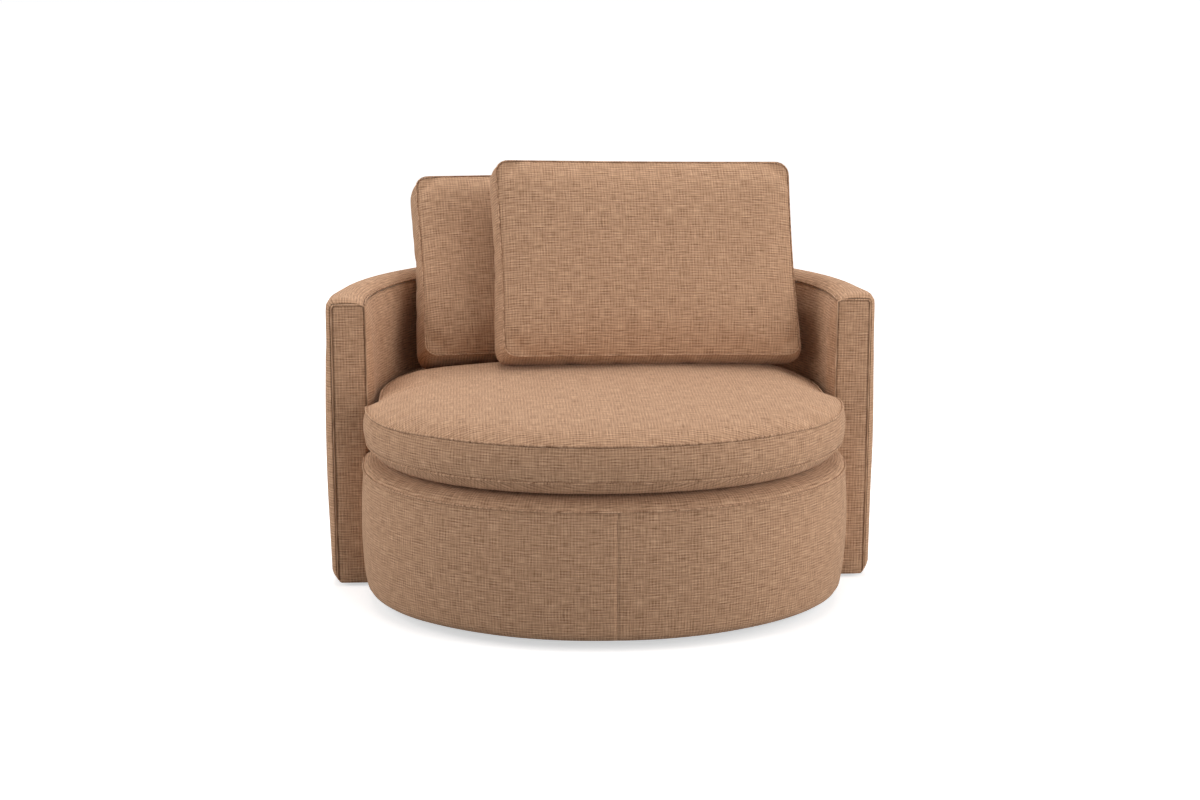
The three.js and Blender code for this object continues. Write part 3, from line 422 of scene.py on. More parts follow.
def makeWelt(name, points, radius, body, nodes=(), closed=False, cloth=weltCloth):
    curve = bpy.data.curves.new(name, "CURVE")
    curve.dimensions = "3D"
    curve.bevel_depth = radius
    curve.bevel_resolution = 3
    curve.use_fill_caps = True
    spline = curve.splines.new("POLY")
    spline.points.add(len(points) - 1)
    for point, place in zip(spline.points, points):
        point.co = (*place, 1)
    spline.use_cyclic_u = closed
    welt = bpy.data.objects.new(name, curve)
    scene.collection.objects.link(welt)
    useOnly(welt)
    bpy.ops.object.convert(target="MESH")
    return finishPiece(bpy.context.object, body, nodes, cloth)


tubCloth = {
    "spacing": 0.010, "softness": 0.0016, "softSize": 0.16, "fullness": 0.0008,
    "ridge": 0.009, "ridgeSetback": 0.215, "ridgeWidth": 0.075, "ridgeLowZ": 0.34, "ridgeHighZ": 0.630,
    "ridgeLowFade": 0.14, "ridgeHighFade": 0.07,
    "pucker": 0.0024, "puckerSize": 0.011, "puckerReach": 0.045, "puckerStart": 0.008,
    "edgeLead": 0.17, "edgeLowZ": 0.50, "edgeHighZ": 0.60,
    "bulge": 0.012, "bulgeReach": 0.020, "bulgeFade": 0.034, "hemFade": 0.030,
    "endColumns": 8, "endReach": 0.024, "endPower": 1.6,
    "weltRadius": 0.0016, "weltInset": -0.0004, "weltDrop": 0.0010,
    # the three values below size and place the thin line of painted shade in the groove inside the rim welt
    "seamRadius": 0.0006, "seamInset": 0.0014, "seamDrop": 0.0034,
}
tubPlan = makeTubPlan(clothGap)
outerLine = denseLine(outerWallLine(), tubCloth["spacing"])
innerLine = denseLine(innerWallLine(), tubCloth["spacing"] / 2)
outerFaceEdge = outerWallLine(tub["armSwell"], tub["faceRadius"])
outerFaceLine = evenLine(outerFaceEdge, len(outerLine) - 1)
innerFaceLine = evenLine(innerWallLine(tub["armSwell"]), len(innerLine) - 1)
tubColumns = round(tubPlan["length"][-1] / tubCloth["spacing"])
outerSteps = np.gradient(np.array([line[:2] for line in outerLine]), axis=0)
outerSteps /= np.linalg.norm(outerSteps, axis=1)[:, None]


# share of the way along the tub, with columns close together behind each arm face
def tubShare(u):
    column, ends = u * tubColumns, tubCloth["endColumns"]
    reach = tubCloth["endReach"] / tubPlan["length"][-1]
    if column < ends:
        return reach * (column / ends) ** tubCloth["endPower"]
    if column > tubColumns - ends:
        return 1 - reach * ((tubColumns - column) / ends) ** tubCloth["endPower"]
    return reach + (1 - 2 * reach) * (column - ends) / (tubColumns - 2 * ends)


# the wall is straight at the arm faces and swells behind them; seed is below 0 for its inner face
def tubPlace(line, faceLine, seed):
    rows = len(line) - 1

    def placeAt(u, v):
        x, y, nx, ny, along = planAt(tubPlan, tubShare(u))
        inset, z, up = line[round(v * rows)]
        faceInset, faceZ, _ = faceLine[round(v * rows)]
        behind = max(0, y - tub["armFaceY"])
        edgeShare = smoothStep(z, tubCloth["edgeLowZ"], tubCloth["edgeHighZ"])
        lead = tub["armLead"] + (tubCloth["edgeLead"] - tub["armLead"]) * edgeShare
        swellShare = smoothStep(behind, 0, lead if seed > 0 else tub["armLead"])
        inset = faceInset * (1 - swellShare) + inset * swellShare - tubCloth["fullness"] * seed * swellShare
        z = faceZ * (1 - swellShare) + z * swellShare
        inset += ripple((x, y, z), tubCloth["softSize"], tubCloth["softness"], seed) * easeAtEnds(v) * easeAtEnds(u)
        if seed > 0:
            # the padding behind the arm face stands out over its seam
            roundness = math.sqrt(1 - (1 - min(1, behind / tubCloth["bulgeReach"])) ** 2)
            bulge = tubCloth["bulge"] * roundness * smoothStep(line[-1][2] - up, 0, tubCloth["bulgeFade"])
            bulge *= smoothStep(up, 0, tubCloth["hemFade"])
            inset -= bulge * outerSteps[round(v * rows)][1]
            z += bulge * outerSteps[round(v * rows)][0]
        else:
            lowZ, highZ = tubCloth["ridgeLowZ"], tubCloth["ridgeHighZ"]
            ridge = math.exp(-((behind - tubCloth["ridgeSetback"]) / tubCloth["ridgeWidth"]) ** 2)
            ridge *= smoothStep(z, lowZ, lowZ + tubCloth["ridgeLowFade"])
            ridge *= 1 - smoothStep(z, highZ - tubCloth["ridgeHighFade"], highZ)
            pucker = ripple((0, 0, z), tubCloth["puckerSize"], tubCloth["pucker"], x)
            pucker *= math.exp(-behind / tubCloth["puckerReach"]) * easeAtEnds(v)
            inset += tubCloth["ridge"] * ridge + pucker * smoothStep(behind, 0, tubCloth["puckerStart"])
        return (x + inset * nx, y + inset * ny, z), (along, up)

    return placeAt


def awayFromAxis(place):
    return Vector((place.x, place.y - tub["centreY"], 0))


tubOuter = wrapCloth("tubOuterCover", tubColumns, len(outerLine) - 1, tubPlace(outerLine, outerFaceLine, 1),
                     awayFromAxis)
finishPiece(tubOuter, "chair", ["tub_outer_cover"])
tubInner = wrapCloth("tubInnerCover", tubColumns, len(innerLine) - 1, tubPlace(innerLine, innerFaceLine, -1),
                     lambda place: -awayFromAxis(place))
finishPiece(tubInner, "chair", ["tub_inner_cover"])
tubWeltLine = rimLine(tubPlan, tub["wall"] + tubCloth["weltInset"], tub["topZ"] - tubCloth["weltDrop"],
                      linePoints["tubWelt"])
tubShadeLinePath = rimLine(tubPlan, tub["wall"] + tubCloth["seamInset"], tub["topZ"] - tubCloth["seamDrop"],
                      linePoints["tubWelt"])
makeWelt("tubWelt", tubWeltLine, tubCloth["weltRadius"], "chair", ["tub_welt"])
# a thin line of painted shade in the groove on the inner side of the rim welt
makeWelt("tubRimSeam", tubShadeLinePath, tubCloth["seamRadius"], "chair", cloth=seamCloth)
print("tub covered")

# arm fronts: a narrow padded panel with a welt round it, and beside the welt a thin line of painted shade for the
# stitched seam's groove
armFront = {
    "columns": 9, "rows": 64, "bulge": 0.0030, "flatness": 4, "topFade": 9, "hemFade": 12, "hemShare": 0.2,
    "softSize": 0.09, "softness": 0.0012, "tuckHighZ": 0.1, "weltLowRise": 0.004, "innerFootZ": 0.322,
    "weltRadius": 0.0016, "weltInset": 0.0006, "weltProud": 0.0010,
    # the three values below size and place the thin line of painted shade beside the welt
    "seamRadius": 0.0005, "seamInset": 0.0028, "seamProud": 0.0018,
}


def outerInsetAt(z):
    rising = [(pointInset, pointZ) for pointInset, pointZ in outerFaceEdge
              if pointInset <= tub["faceRadius"] + tiny or pointZ < armFront["tuckHighZ"]]
    return float(np.interp(z, [pointZ for _, pointZ in rising], [pointInset for pointInset, _ in rising]))


def innerInsetAt(z):
    if z > tub["topZ"] - tub["seamDrop"]:
        return tub["wall"] - (z - tub["topZ"] + tub["seamDrop"])
    rising = innerFaceLine[::-1]
    return float(np.interp(z, [pointZ for _, pointZ, _ in rising], [pointInset for pointInset, _, _ in rising]))


def armPlace(sign):
    def placeAt(u, v):
        z = tub["hemZ"] + (tub["topZ"] - tub["hemZ"]) * (1 - math.cos(v * math.pi)) / 2
        near, far = outerInsetAt(z), innerInsetAt(z)
        inset = near + (far - near) * u
        swell = 1 - (2 * u - 1) ** armFront["flatness"]
        swell *= min(1, (1 - v) * armFront["topFade"], v * armFront["hemFade"] + armFront["hemShare"])
        soft = ripple((inset, 0, z), armFront["softSize"], armFront["softness"], sign)
        y = tub["armFaceY"] - armFront["bulge"] * swell + soft
        return (sign * (tub["halfWidth"] - inset), y, z), (inset, z)

    return placeAt


def armOutline(sign, inward, proud):
    path = [(inset, z) for inset, z, _ in outerFaceLine if z > tub["hemZ"] + armFront["weltLowRise"]]
    path += [(inset, z) for inset, z, _ in innerFaceLine[1:] if z > armFront["innerFootZ"]]
    steps = np.gradient(np.array(path), axis=0)
    steps /= np.linalg.norm(steps, axis=1)[:, None]
    return [
        (sign * (tub["halfWidth"] - inset - inward * step[1]), tub["armFaceY"] - proud, z - inward * step[0])
        for (inset, z), step in zip(path, steps)
    ]


for side, sign in (("Left", -1), ("Right", 1)):
    panel = wrapCloth("armPanel" + side, armFront["columns"], armFront["rows"], armPlace(sign),
                      lambda place: Vector((0, -1, 0)))
    finishPiece(panel, "chair", ["arm_panel_" + side.lower()])
    makeWelt("armWelt" + side, armOutline(sign, armFront["weltInset"], armFront["weltProud"]),
             armFront["weltRadius"], "chair", ["arm_welt_" + side.lower()])
    # beside the welt, a thin line of painted shade for the stitched seam's groove
    makeWelt("armEdgeSeam" + side, armOutline(sign, armFront["seamInset"], armFront["seamProud"]),
             armFront["seamRadius"], "chair", cloth=seamCloth)
print("arm fronts covered")

drumCloth = {
    "spacing": 0.010, "softness": 0.0014, "softSize": 0.13, "fullness": 0.0010, "endEase": 0.04,
    "cornerTuck": 0.007, "cornerLift": 0.003, "cornerNear": 0.06, "cornerFar": 0.40, "cornerReach": 0.035,
    "pucker": 0.0012, "puckerSize": 0.05, "puckerStretch": 5, "puckerReach": 0.03,
    # the pinch and its reach below shape the middle seam; the other two place the thin line of painted shade down it
    "seamPinch": 0.0007, "seamReach": 0.004, "seamRadius": 0.0004, "seamInset": 0.0002,
    "weltRadius": 0.0026, "weltInset": -0.0012, "weltRise": 0.001,
}


def drumFaceLine():
    radius, lowZ = drum["hemRadius"], drum["hemZ"] + drum["hemRadius"]
    points = []
    for share in np.linspace(0, 1, linePoints["drumHem"]):
        angle = share * math.pi / 2
        points.append((radius * (1 - math.sin(angle)), drum["hemZ"] + radius * (1 - math.cos(angle))))
    for share in np.linspace(0, 1, linePoints["drumFace"])[1:]:
        points.append((-drum["swell"] * math.sin(math.pi * share), lowZ + (drum["seamZ"] - lowZ) * share))
    return points


faceLine = denseLine(drumFaceLine(), drumCloth["spacing"])


# one half of the drum's face, tucked in at its lower corners and pinched at the middle seam
def drumPlace(plan, side):
    rows = len(faceLine) - 1

    def placeAt(u, v):
        x, y, nx, ny, along = planAt(plan, u)
        inset, z, up = faceLine[round(v * rows)]
        fromSeam = (1 - u if side == "Left" else u) * plan["length"][-1]
        inset += drumCloth["seamPinch"] * math.exp(-fromSeam / drumCloth["seamReach"]) - drumCloth["fullness"]
        corner = smoothStep(abs(x), drumCloth["cornerNear"], drumCloth["cornerFar"])
        corner *= math.exp((drum["hemZ"] - z) / drumCloth["cornerReach"])
        inset += drumCloth["cornerTuck"] * corner
        z += drumCloth["cornerLift"] * corner
        pucker = ripple((x, y, z * drumCloth["puckerStretch"]), drumCloth["puckerSize"], drumCloth["pucker"])
        pucker *= math.exp(-max(0, drum["seamZ"] - z) / drumCloth["puckerReach"])
        soft = ripple((x, y, z), drumCloth["softSize"], drumCloth["softness"])
        inset += (soft + pucker) * easeAtEnds(v, drumCloth["endEase"])
        if side == "Left":
            along -= plan["length"][-1]
        return (x + inset * nx, y + inset * ny, z), (along, up)

    return placeAt


for side, start, end in (("Left", 0, 0.5), ("Right", 0.5, 1)):
    plan = makeDrumPlan(start, end)
    panel = wrapCloth("drumPanel" + side, round(plan["length"][-1] / drumCloth["spacing"]), len(faceLine) - 1,
                      drumPlace(plan, side), lambda place: Vector((place.x, place.y - drum["centreY"], 0)))
    finishPiece(panel, "chair", ["drum_panel_" + side.lower()] + (["drum_pad"] if side == "Right" else []))

wholeDrum = makeDrumPlan(0, 1)
seamX, seamY, _, seamNy, _ = planAt(wholeDrum, 0.5)
# a thin line of painted shade down the pinched middle seam
makeWelt("drumSeam", [(seamX, seamY + (inset + drumCloth["seamInset"]) * seamNy, z) for inset, z, _ in faceLine],
         drumCloth["seamRadius"], "chair", cloth=seamCloth)

# deck cloth: rolls over the drum's shoulder and runs flat under the seat cushion to the tub
deck = {
    "shoulderRows": 9, "flatRows": 40, "columns": 200, "wallInset": 0.089,
    "shoulderInset": 0.0002, "shoulderRise": 0.0004, "shoulderPower": 0.9,
    "pucker": 0.0016, "puckerSize": 0.03, "puckerPower": 0.5, "puckerSeed": 2.0, "dip": 0.0012, "dipSize": 0.12,
}


def deckPlace(u, v):
    x, y, nx, ny, along = planAt(wholeDrum, u)
    row = v * (deck["shoulderRows"] + deck["flatRows"]) / deck["shoulderRows"]
    angle = min(1, row) * math.pi / 2
    inset = drum["shoulder"] * (1 - math.cos(angle)) + deck["shoulderInset"]
    frontX, frontY = x + inset * nx, y + inset * ny
    if row <= 1:
        z = drum["seamZ"] + (drum["deckZ"] - drum["seamZ"]) * math.sin(angle) ** deck["shoulderPower"]
        z += deck["shoulderRise"] * (1 - row)
        pucker = ripple((x, y, 0), deck["puckerSize"], deck["pucker"], deck["puckerSeed"])
        z -= abs(pucker * math.sin(row * math.pi) ** deck["puckerPower"])
        return (frontX, frontY, z), (along, inset)
    wallX, wallY, wallNx, wallNy, _ = planAt(tubPlan, 1 - u)
    backX, backY = wallX + deck["wallInset"] * wallNx, wallY + deck["wallInset"] * wallNy
    share = (row - 1) * deck["shoulderRows"] / deck["flatRows"]
    x, y = frontX + (backX - frontX) * share, frontY + (backY - frontY) * share
    dip = deck["dip"] * abs(noise.noise(Vector((x, y, 0)) / deck["dipSize"]))
    return (x, y, drum["deckZ"] - dip * math.sin(share * math.pi)), (x, y)


deckCover = wrapCloth("deckCover", deck["columns"], deck["shoulderRows"] + deck["flatRows"], deckPlace,
                      lambda place: Vector((0, 0, 1)), evenWall=False)
finishPiece(deckCover, "chair", ["deck_cover"])
drumWeltLine = rimLine(wholeDrum, drumCloth["weltInset"], drum["seamZ"] + drumCloth["weltRise"],
                       linePoints["drumWelt"])
makeWelt("drumWelt", drumWeltLine, drumCloth["weltRadius"], "chair", ["drum_welt"])
print("drum covered")


# a cube cut into an even net, so that its faces and its boxing share their edge points
def nettedCube(name, cutsOfAxes):
    deselectAll()
    bpy.ops.mesh.primitive_cube_add(size=2)
    piece = bpy.context.object
    piece.name = name
    bpy.ops.object.mode_set(mode="EDIT")
    bpy.ops.mesh.select_mode(type="EDGE")
    for axis, cuts in enumerate(cutsOfAxes):
        bpy.ops.mesh.select_all(action="DESELECT")
        net = bmesh.from_edit_mesh(piece.data)
        for edge in net.edges:
            direction = edge.verts[1].co - edge.verts[0].co
            edge.select_set(abs(direction[axis]) > 0.9 * direction.length)
        bmesh.update_edit_mesh(piece.data)
        bpy.ops.mesh.subdivide(number_cuts=cuts)
    bpy.ops.object.mode_set(mode="OBJECT")
    return piece


def atEnd(share):
    return abs(share) > 1 - tiny


def crownRise(share, flatness):
    return math.sqrt(max(0, 1 - share ** flatness))


def setPoints(mesh, points):
    for vertex, point in zip(mesh.vertices, points):
        vertex.co = point
    mesh.update()


# the net's two closed seams, on either side across the given axis, as rows of point numbers
def seamLoopsOf(net, seamPoints, across, up):
    loops = []
    for sign in (-1, 1):
        loop = [index for index in seamPoints if net[index][across] * sign > 0]
        loop.sort(key=lambda index: math.atan2(net[index][up], net[index].x))
        loops.append(loop)
    return loops


filling = {
    "quality": 5, "mass": 0.3, "tension": 18, "compression": 10, "shear": 6, "lastFrame": 20, "leastReach": 1e-9,
}


# presses the cloth outwards between its seams, as a filling does, and gives the points' new places
def fillCushion(piece, seamPoints, settings):
    start = np.array([vertex.co for vertex in piece.data.vertices])
    seams = piece.vertex_groups.new(name="seams")
    seams.add(seamPoints, 1, "REPLACE")
    cloth = piece.modifiers.new("filling", "CLOTH")
    cloth.settings.quality = filling["quality"]
    cloth.settings.mass = filling["mass"]
    cloth.settings.tension_stiffness = filling["tension"]
    cloth.settings.compression_stiffness = filling["compression"]
    cloth.settings.shear_stiffness = filling["shear"]
    cloth.settings.bending_stiffness = settings["bending"]
    cloth.settings.use_pressure = True
    cloth.settings.uniform_pressure_force = settings["pressure"]
    cloth.settings.shrink_min = -settings["spare"]
    cloth.settings.vertex_group_mass = "seams"
    cloth.settings.effector_weights.gravity = 0
    cloth.point_cache.frame_start = 1
    cloth.point_cache.frame_end = filling["lastFrame"]
    for step in range(1, filling["lastFrame"] + 1):
        scene.frame_set(step)
    applyModifier(piece, cloth)
    scene.frame_set(1)
    shift = np.array([vertex.co for vertex in piece.data.vertices]) - start
    reach = np.linalg.norm(shift, axis=1)
    cap = settings["cap"]
    shift *= (cap * np.tanh(reach / cap) / np.maximum(reach, filling["leastReach"]))[:, None]
    print(piece.name, "swelled by up to", round(float(reach.max()) * 1000, 1), "mm")
    return start + shift


def coverCushion(piece, body):
    smooth = piece.modifiers.new("smooth", "SUBSURF")
    smooth.levels = 1
    smooth.render_levels = 1
    smooth.boundary_smooth = "PRESERVE_CORNERS"
    applyModifier(piece, smooth)
    finishPiece(piece, body, [body + "_cover", body + "_zip", body + "_filling"])


# a welt on a cushion's seam, and beside it on the boxing a thin line of painted shade for the stitched seam's groove
def sewSeam(name, line, beside, body, settings):
    makeWelt(name + "Welt", line, settings["weltRadius"], body, closed=True)
    seamShadeLine = [tuple(Vector(point) + beside) for point in line]
    makeWelt(name + "Seam", seamShadeLine, settings["seamRadius"], body, closed=True, cloth=seamCloth)


backCushion = {
    "cuts": (59, 11, 39), "halfBoxing": 0.059, "cornerRadius": 0.030, "cornerLeast": 1e-9,
    "frontCrown": 0.030, "backCrown": 0.016, "flatness": 2.5, "squareness": 7,
    "swell": 0.005, "lowSwell": 0.009, "lowSwellStart": -0.2, "lowSwellEnd": 0.9,
    "sideDraw": 0.005, "endDraw": 0.0015, "sidePatternShift": 3, "endPatternShift": 5,
    "pressure": 3.0, "bending": 1.2, "spare": 0.012, "cap": 0.006,
    "sidePucker": 0.0034, "sidePuckerSize": 0.024, "sidePuckerReach": 0.030,
    "endPucker": 0.0022, "endPuckerSize": 0.026, "endPuckerReach": 0.022, "puckerStretch": 0.4, "puckerStart": 0.008,
    "cornerCrease": 0.0030, "creaseTurns": 9, "creaseShift": 4, "creaseStart": 0.004, "creaseReach": 0.038,
    "softness": 0.0035, "softSize": 0.13, "fineness": 0.0010, "fineSize": 0.05, "fineSeed": 3, "faceStart": 0.001,
    # the last two values below place the thin line of painted shade beside the welt
    "weltRadius": 0.0015, "seamShift": 0.0019, "seamRadius": 0.0008,
}
backCushionPoses = {
    "frontCushion": {
        "body": "front_cushion", "halfWidth": 0.334, "halfHeight": 0.221, "turn": 5.5, "lean": 21, "roll": 1.4,
        "shear": 0.005, "shift": (-0.002, -0.002, 0.000),
    },
    "rearCushion": {
        "body": "rear_cushion", "halfWidth": 0.333, "halfHeight": 0.216, "turn": 7, "lean": 29, "roll": 0,
        "shear": -0.002, "shift": (-0.009, 0, -0.006),
    },
}


def roundedCorner(a, b, halfX, halfZ):
    radius = backCushion["cornerRadius"]
    x, z = abs(a) * halfX, abs(b) * halfZ
    overX, overZ = x - (halfX - radius), z - (halfZ - radius)
    if overX > 0 and overZ > 0:
        onSide = overX >= radius - backCushion["cornerLeast"]
        angle = (overZ if onSide else 2 * radius - overX) / (2 * radius) * math.pi / 2
        x = halfX - radius + radius * math.cos(angle)
        z = halfZ - radius + radius * math.sin(angle)
    return math.copysign(x, a), math.copysign(z, b)


def backCushionPoint(a, depth, b, pose):
    level = max(abs(a), abs(b))
    x, z = 0, 0
    if level > tiny:
        edgeX, edgeZ = roundedCorner(a / level, b / level, pose["halfWidth"], pose["halfHeight"])
        x, z = edgeX * level, edgeZ * level
    x *= 1 - backCushion["sideDraw"] / pose["halfWidth"] * (1 - b * b)
    z *= 1 - backCushion["endDraw"] / pose["halfHeight"] * (1 - a * a)
    if atEnd(depth):
        power = backCushion["squareness"]
        fromMiddle = (abs(a) ** power + abs(b) ** power) ** (1 / power)
        crown = backCushion["frontCrown"] if depth < 0 else backCushion["backCrown"]
        rise = crown * crownRise(min(1, fromMiddle), backCushion["flatness"])
        y = math.copysign(backCushion["halfBoxing"] + rise, depth)
    else:
        y = depth * backCushion["halfBoxing"]
        lowShare = smoothStep(-b, backCushion["lowSwellStart"], backCushion["lowSwellEnd"])
        swell = (backCushion["swell"] + backCushion["lowSwell"] * lowShare) * (1 - depth * depth)
        size = math.hypot(x, z)
        x, z = x * (1 + swell / size), z * (1 + swell / size)
    return Vector((x - pose["shear"] * b, y, z))


# puckers at the seams, creases fanning out of the corners and a soft unevenness all over
def backCushionCreases(point, pose):
    seed, stretch = pose["lean"], backCushion["puckerStretch"]
    fromSide = max(0, pose["halfWidth"] - abs(point.x))
    fromEnd = max(0, pose["halfHeight"] - abs(point.z))
    sidePucker = ripple((point.x * stretch, 0, point.z), backCushion["sidePuckerSize"], backCushion["sidePucker"], seed)
    endPucker = ripple((point.x, 0, point.z * stretch), backCushion["endPuckerSize"], backCushion["endPucker"], seed)
    pucker = sidePucker * math.exp(-fromSide / backCushion["sidePuckerReach"])
    pucker += endPucker * math.exp(-fromEnd / backCushion["endPuckerReach"])
    start = backCushion["creaseStart"]
    angle = backCushion["creaseTurns"] * math.atan2(fromEnd + start, fromSide + start)
    crease = math.sin(angle + backCushion["creaseShift"] * math.copysign(1, point.x * point.z))
    crease *= math.exp(-math.hypot(fromSide, fromEnd) / backCushion["creaseReach"])
    pucker += backCushion["cornerCrease"] * crease
    pucker *= smoothStep(min(fromSide, fromEnd), 0, backCushion["puckerStart"])
    soft = ripple(point, backCushion["softSize"], backCushion["softness"], seed)
    soft += ripple(point, backCushion["fineSize"], backCushion["fineness"], seed + backCushion["fineSeed"])
    return pucker + soft


def drawBackPattern(mesh, net, shaped):
    pattern = mesh.uv_layers.active.data
    for polygon in mesh.polygons:
        onFace = all(atEnd(net[corner].y) for corner in polygon.vertices)
        onSide = abs(polygon.normal.x) > abs(polygon.normal.z)
        for loop, corner in zip(polygon.loop_indices, polygon.vertices):
            x, y, z = shaped[corner]
            if onFace:
                pattern[loop].uv = (x, z)
            elif onSide:
                pattern[loop].uv = (y + backCushion["sidePatternShift"], z)
            else:
                pattern[loop].uv = (x, y + backCushion["endPatternShift"])


def makeBackCushion(name, pose):
    body = pose["body"]
    piece = nettedCube(name + "Cover", backCushion["cuts"])
    mesh = piece.data
    lowCorner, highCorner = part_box(body + "_cover")
    place = (
        Matrix.Translation((lowCorner + highCorner) / 2 + Vector(pose["shift"]))
        @ Matrix.Rotation(math.radians(pose["turn"]), 4, "Z")
        @ Matrix.Rotation(-math.radians(pose["lean"]), 4, "X")
        @ Matrix.Rotation(math.radians(pose["roll"]), 4, "Y")
    )
    net = [vertex.co.copy() for vertex in mesh.vertices]
    seamPoints = [index for index, (a, depth, b) in enumerate(net) if atEnd(depth) and (atEnd(a) or atEnd(b))]
    shaped = [backCushionPoint(a, depth, b, pose) for a, depth, b in net]
    drawBackPattern(mesh, net, shaped)
    setPoints(mesh, shaped)
    placed = []
    for point in fillCushion(piece, seamPoints, backCushion):
        point = Vector(point)
        if abs(point.y) > backCushion["halfBoxing"] + backCushion["faceStart"]:
            point.y += math.copysign(backCushionCreases(point, pose), point.y)
        placed.append(place @ point)
    setPoints(mesh, placed)
    seamLines = [[tuple(mesh.vertices[index].co) for index in loop] for loop in seamLoopsOf(net, seamPoints, 1, 2)]
    coverCushion(piece, body)
    for label, line, side in zip(("Front", "Back"), seamLines, (1, -1)):
        towardsMiddle = place.to_3x3() @ Vector((0, side, 0))
        sewSeam(name + label, line, backCushion["seamShift"] * towardsMiddle, body, backCushion)


for name, pose in backCushionPoses.items():
    makeBackCushion(name, pose)
print("back cushions filled")

seatCushion = {
    "cuts": (83, 79, 7), "halfWidth": 0.516, "reach": 0.424, "wallInset": 0.102, "armEase": 0.012,
    "lowSeamZ": 0.3527, "highSeamZ": 0.4297, "bottomZ": 0.3187, "bottomRadius": 0.040, "swell": 0.005,
    "crown": 0.046, "flatness": 2.4, "fadeStart": 0.190, "fadeEnd": 0.330,
    "sideFall": 0.45, "sideFallStart": 0.40, "sideSag": 0.006, "sideSagStart": 0.34, "sideEnd": 0.51,
    "pressure": 3.0, "bending": 1.5, "spare": 0.012, "cap": 0.005,
    "pucker": 0.0014, "puckerSize": 0.026, "puckerStretch": 0.5, "puckerReach": 0.035, "puckerStart": 0.01,
    "softness": 0.003, "softSize": 0.2, "fineness": 0.0007, "fineSize": 0.06, "fineSeed": 5,
    # the last two values below place the thin line of painted shade beside the welt
    "weltRadius": 0.0022, "seamShift": 0.0026, "seamRadius": 0.0010,
}
seatMiddleY = (drum["centreY"] + tub["centreY"]) / 2


def seatOutline():
    points = []
    for angle in np.linspace(math.pi, 2 * math.pi, linePoints["seat"]):
        x, y = superPoint(seatCushion["halfWidth"], seatCushion["reach"], drum["power"], angle)
        points.append((x, y + drum["centreY"]))
    wall = makeTubPlan(-seatCushion["armEase"])
    for share in np.linspace(0, 1, linePoints["seat"]):
        x, y, nx, ny, _ = planAt(wall, share)
        points.append((x + seatCushion["wallInset"] * nx, y + seatCushion["wallInset"] * ny))
    return np.array(points)


# the outline by its direction from the seat's middle: its distance there, and the length run along it
def makeSeatEdge():
    outline = seatOutline()
    away = outline - np.array((0, seatMiddleY))
    return {
        "angles": np.unwrap(np.arctan2(away[:, 1], away[:, 0])),
        "radii": np.linalg.norm(away, axis=1),
        "lengths": np.concatenate(([0], np.cumsum(np.linalg.norm(np.diff(outline, axis=0), axis=1)))),
    }


def seatEdgeAt(edge, angle):
    start = edge["angles"][0]
    while angle < start:
        angle += 2 * math.pi
    while angle > start + 2 * math.pi:
        angle -= 2 * math.pi
    radius, length = (float(np.interp(angle, edge["angles"], edge[key])) for key in ("radii", "lengths"))
    return radius, length


def seatCushionPoint(a, b, up, radius):
    lowSeamZ, highSeamZ = seatCushion["lowSeamZ"], seatCushion["highSeamZ"]
    level, angle = max(abs(a), abs(b)), math.atan2(b, a)
    x = radius * level * math.cos(angle)
    y = seatMiddleY + radius * level * math.sin(angle)
    if up > 1 - tiny:
        fadeStart, fadeEnd = (drum["centreY"] + seatCushion[key] for key in ("fadeStart", "fadeEnd"))
        kept = 1 - smoothStep(y, fadeStart, fadeEnd)
        sideShare = smoothStep(abs(x), seatCushion["sideFallStart"], seatCushion["sideEnd"])
        kept *= 1 - seatCushion["sideFall"] * sideShare
        z = highSeamZ + seatCushion["crown"] * crownRise(level, seatCushion["flatness"]) * kept
    elif up < -1 + tiny:
        inside = min(1, radius * (1 - level) / seatCushion["bottomRadius"])
        z = lowSeamZ - (lowSeamZ - seatCushion["bottomZ"]) * math.sqrt(1 - (1 - inside) ** 2)
    else:
        z = (lowSeamZ + highSeamZ) / 2 + up * (highSeamZ - lowSeamZ) / 2
        swell = seatCushion["swell"] * (1 - up * up)
        x += swell * math.cos(angle)
        y += swell * math.sin(angle)
    sag = seatCushion["sideSag"] * smoothStep(abs(x), seatCushion["sideSagStart"], seatCushion["sideEnd"])
    return Vector((x, y, z - sag * (up + 1) / 2))


def seatCushionCreases(point, level):
    fromSeam = (1 - level) / 2
    outward = Vector((point.x, point.y - seatMiddleY)).normalized() * seatCushion["puckerStretch"]
    pucker = ripple((outward.x, outward.y, fromSeam), seatCushion["puckerSize"], seatCushion["pucker"])
    pucker *= math.exp(-fromSeam / seatCushion["puckerReach"]) * smoothStep(fromSeam, 0, seatCushion["puckerStart"])
    soft = ripple(point, seatCushion["softSize"], seatCushion["softness"])
    return pucker + soft + ripple(point, seatCushion["fineSize"], seatCushion["fineness"], seatCushion["fineSeed"])


# the boxing's pattern runs along the outline, without a jump where the outline closes
def drawSeatPattern(mesh, net, shaped, lengthsAt, wholeLength):
    pattern = mesh.uv_layers.active.data
    for polygon in mesh.polygons:
        onFace = all(atEnd(net[corner].z) for corner in polygon.vertices)
        farthest = max(lengthsAt[corner] for corner in polygon.vertices)
        for loop, corner in zip(polygon.loop_indices, polygon.vertices):
            x, y, z = shaped[corner]
            length = lengthsAt[corner]
            if farthest - length > wholeLength / 4:
                length += wholeLength
            pattern[loop].uv = (x, y) if onFace else (length, z)


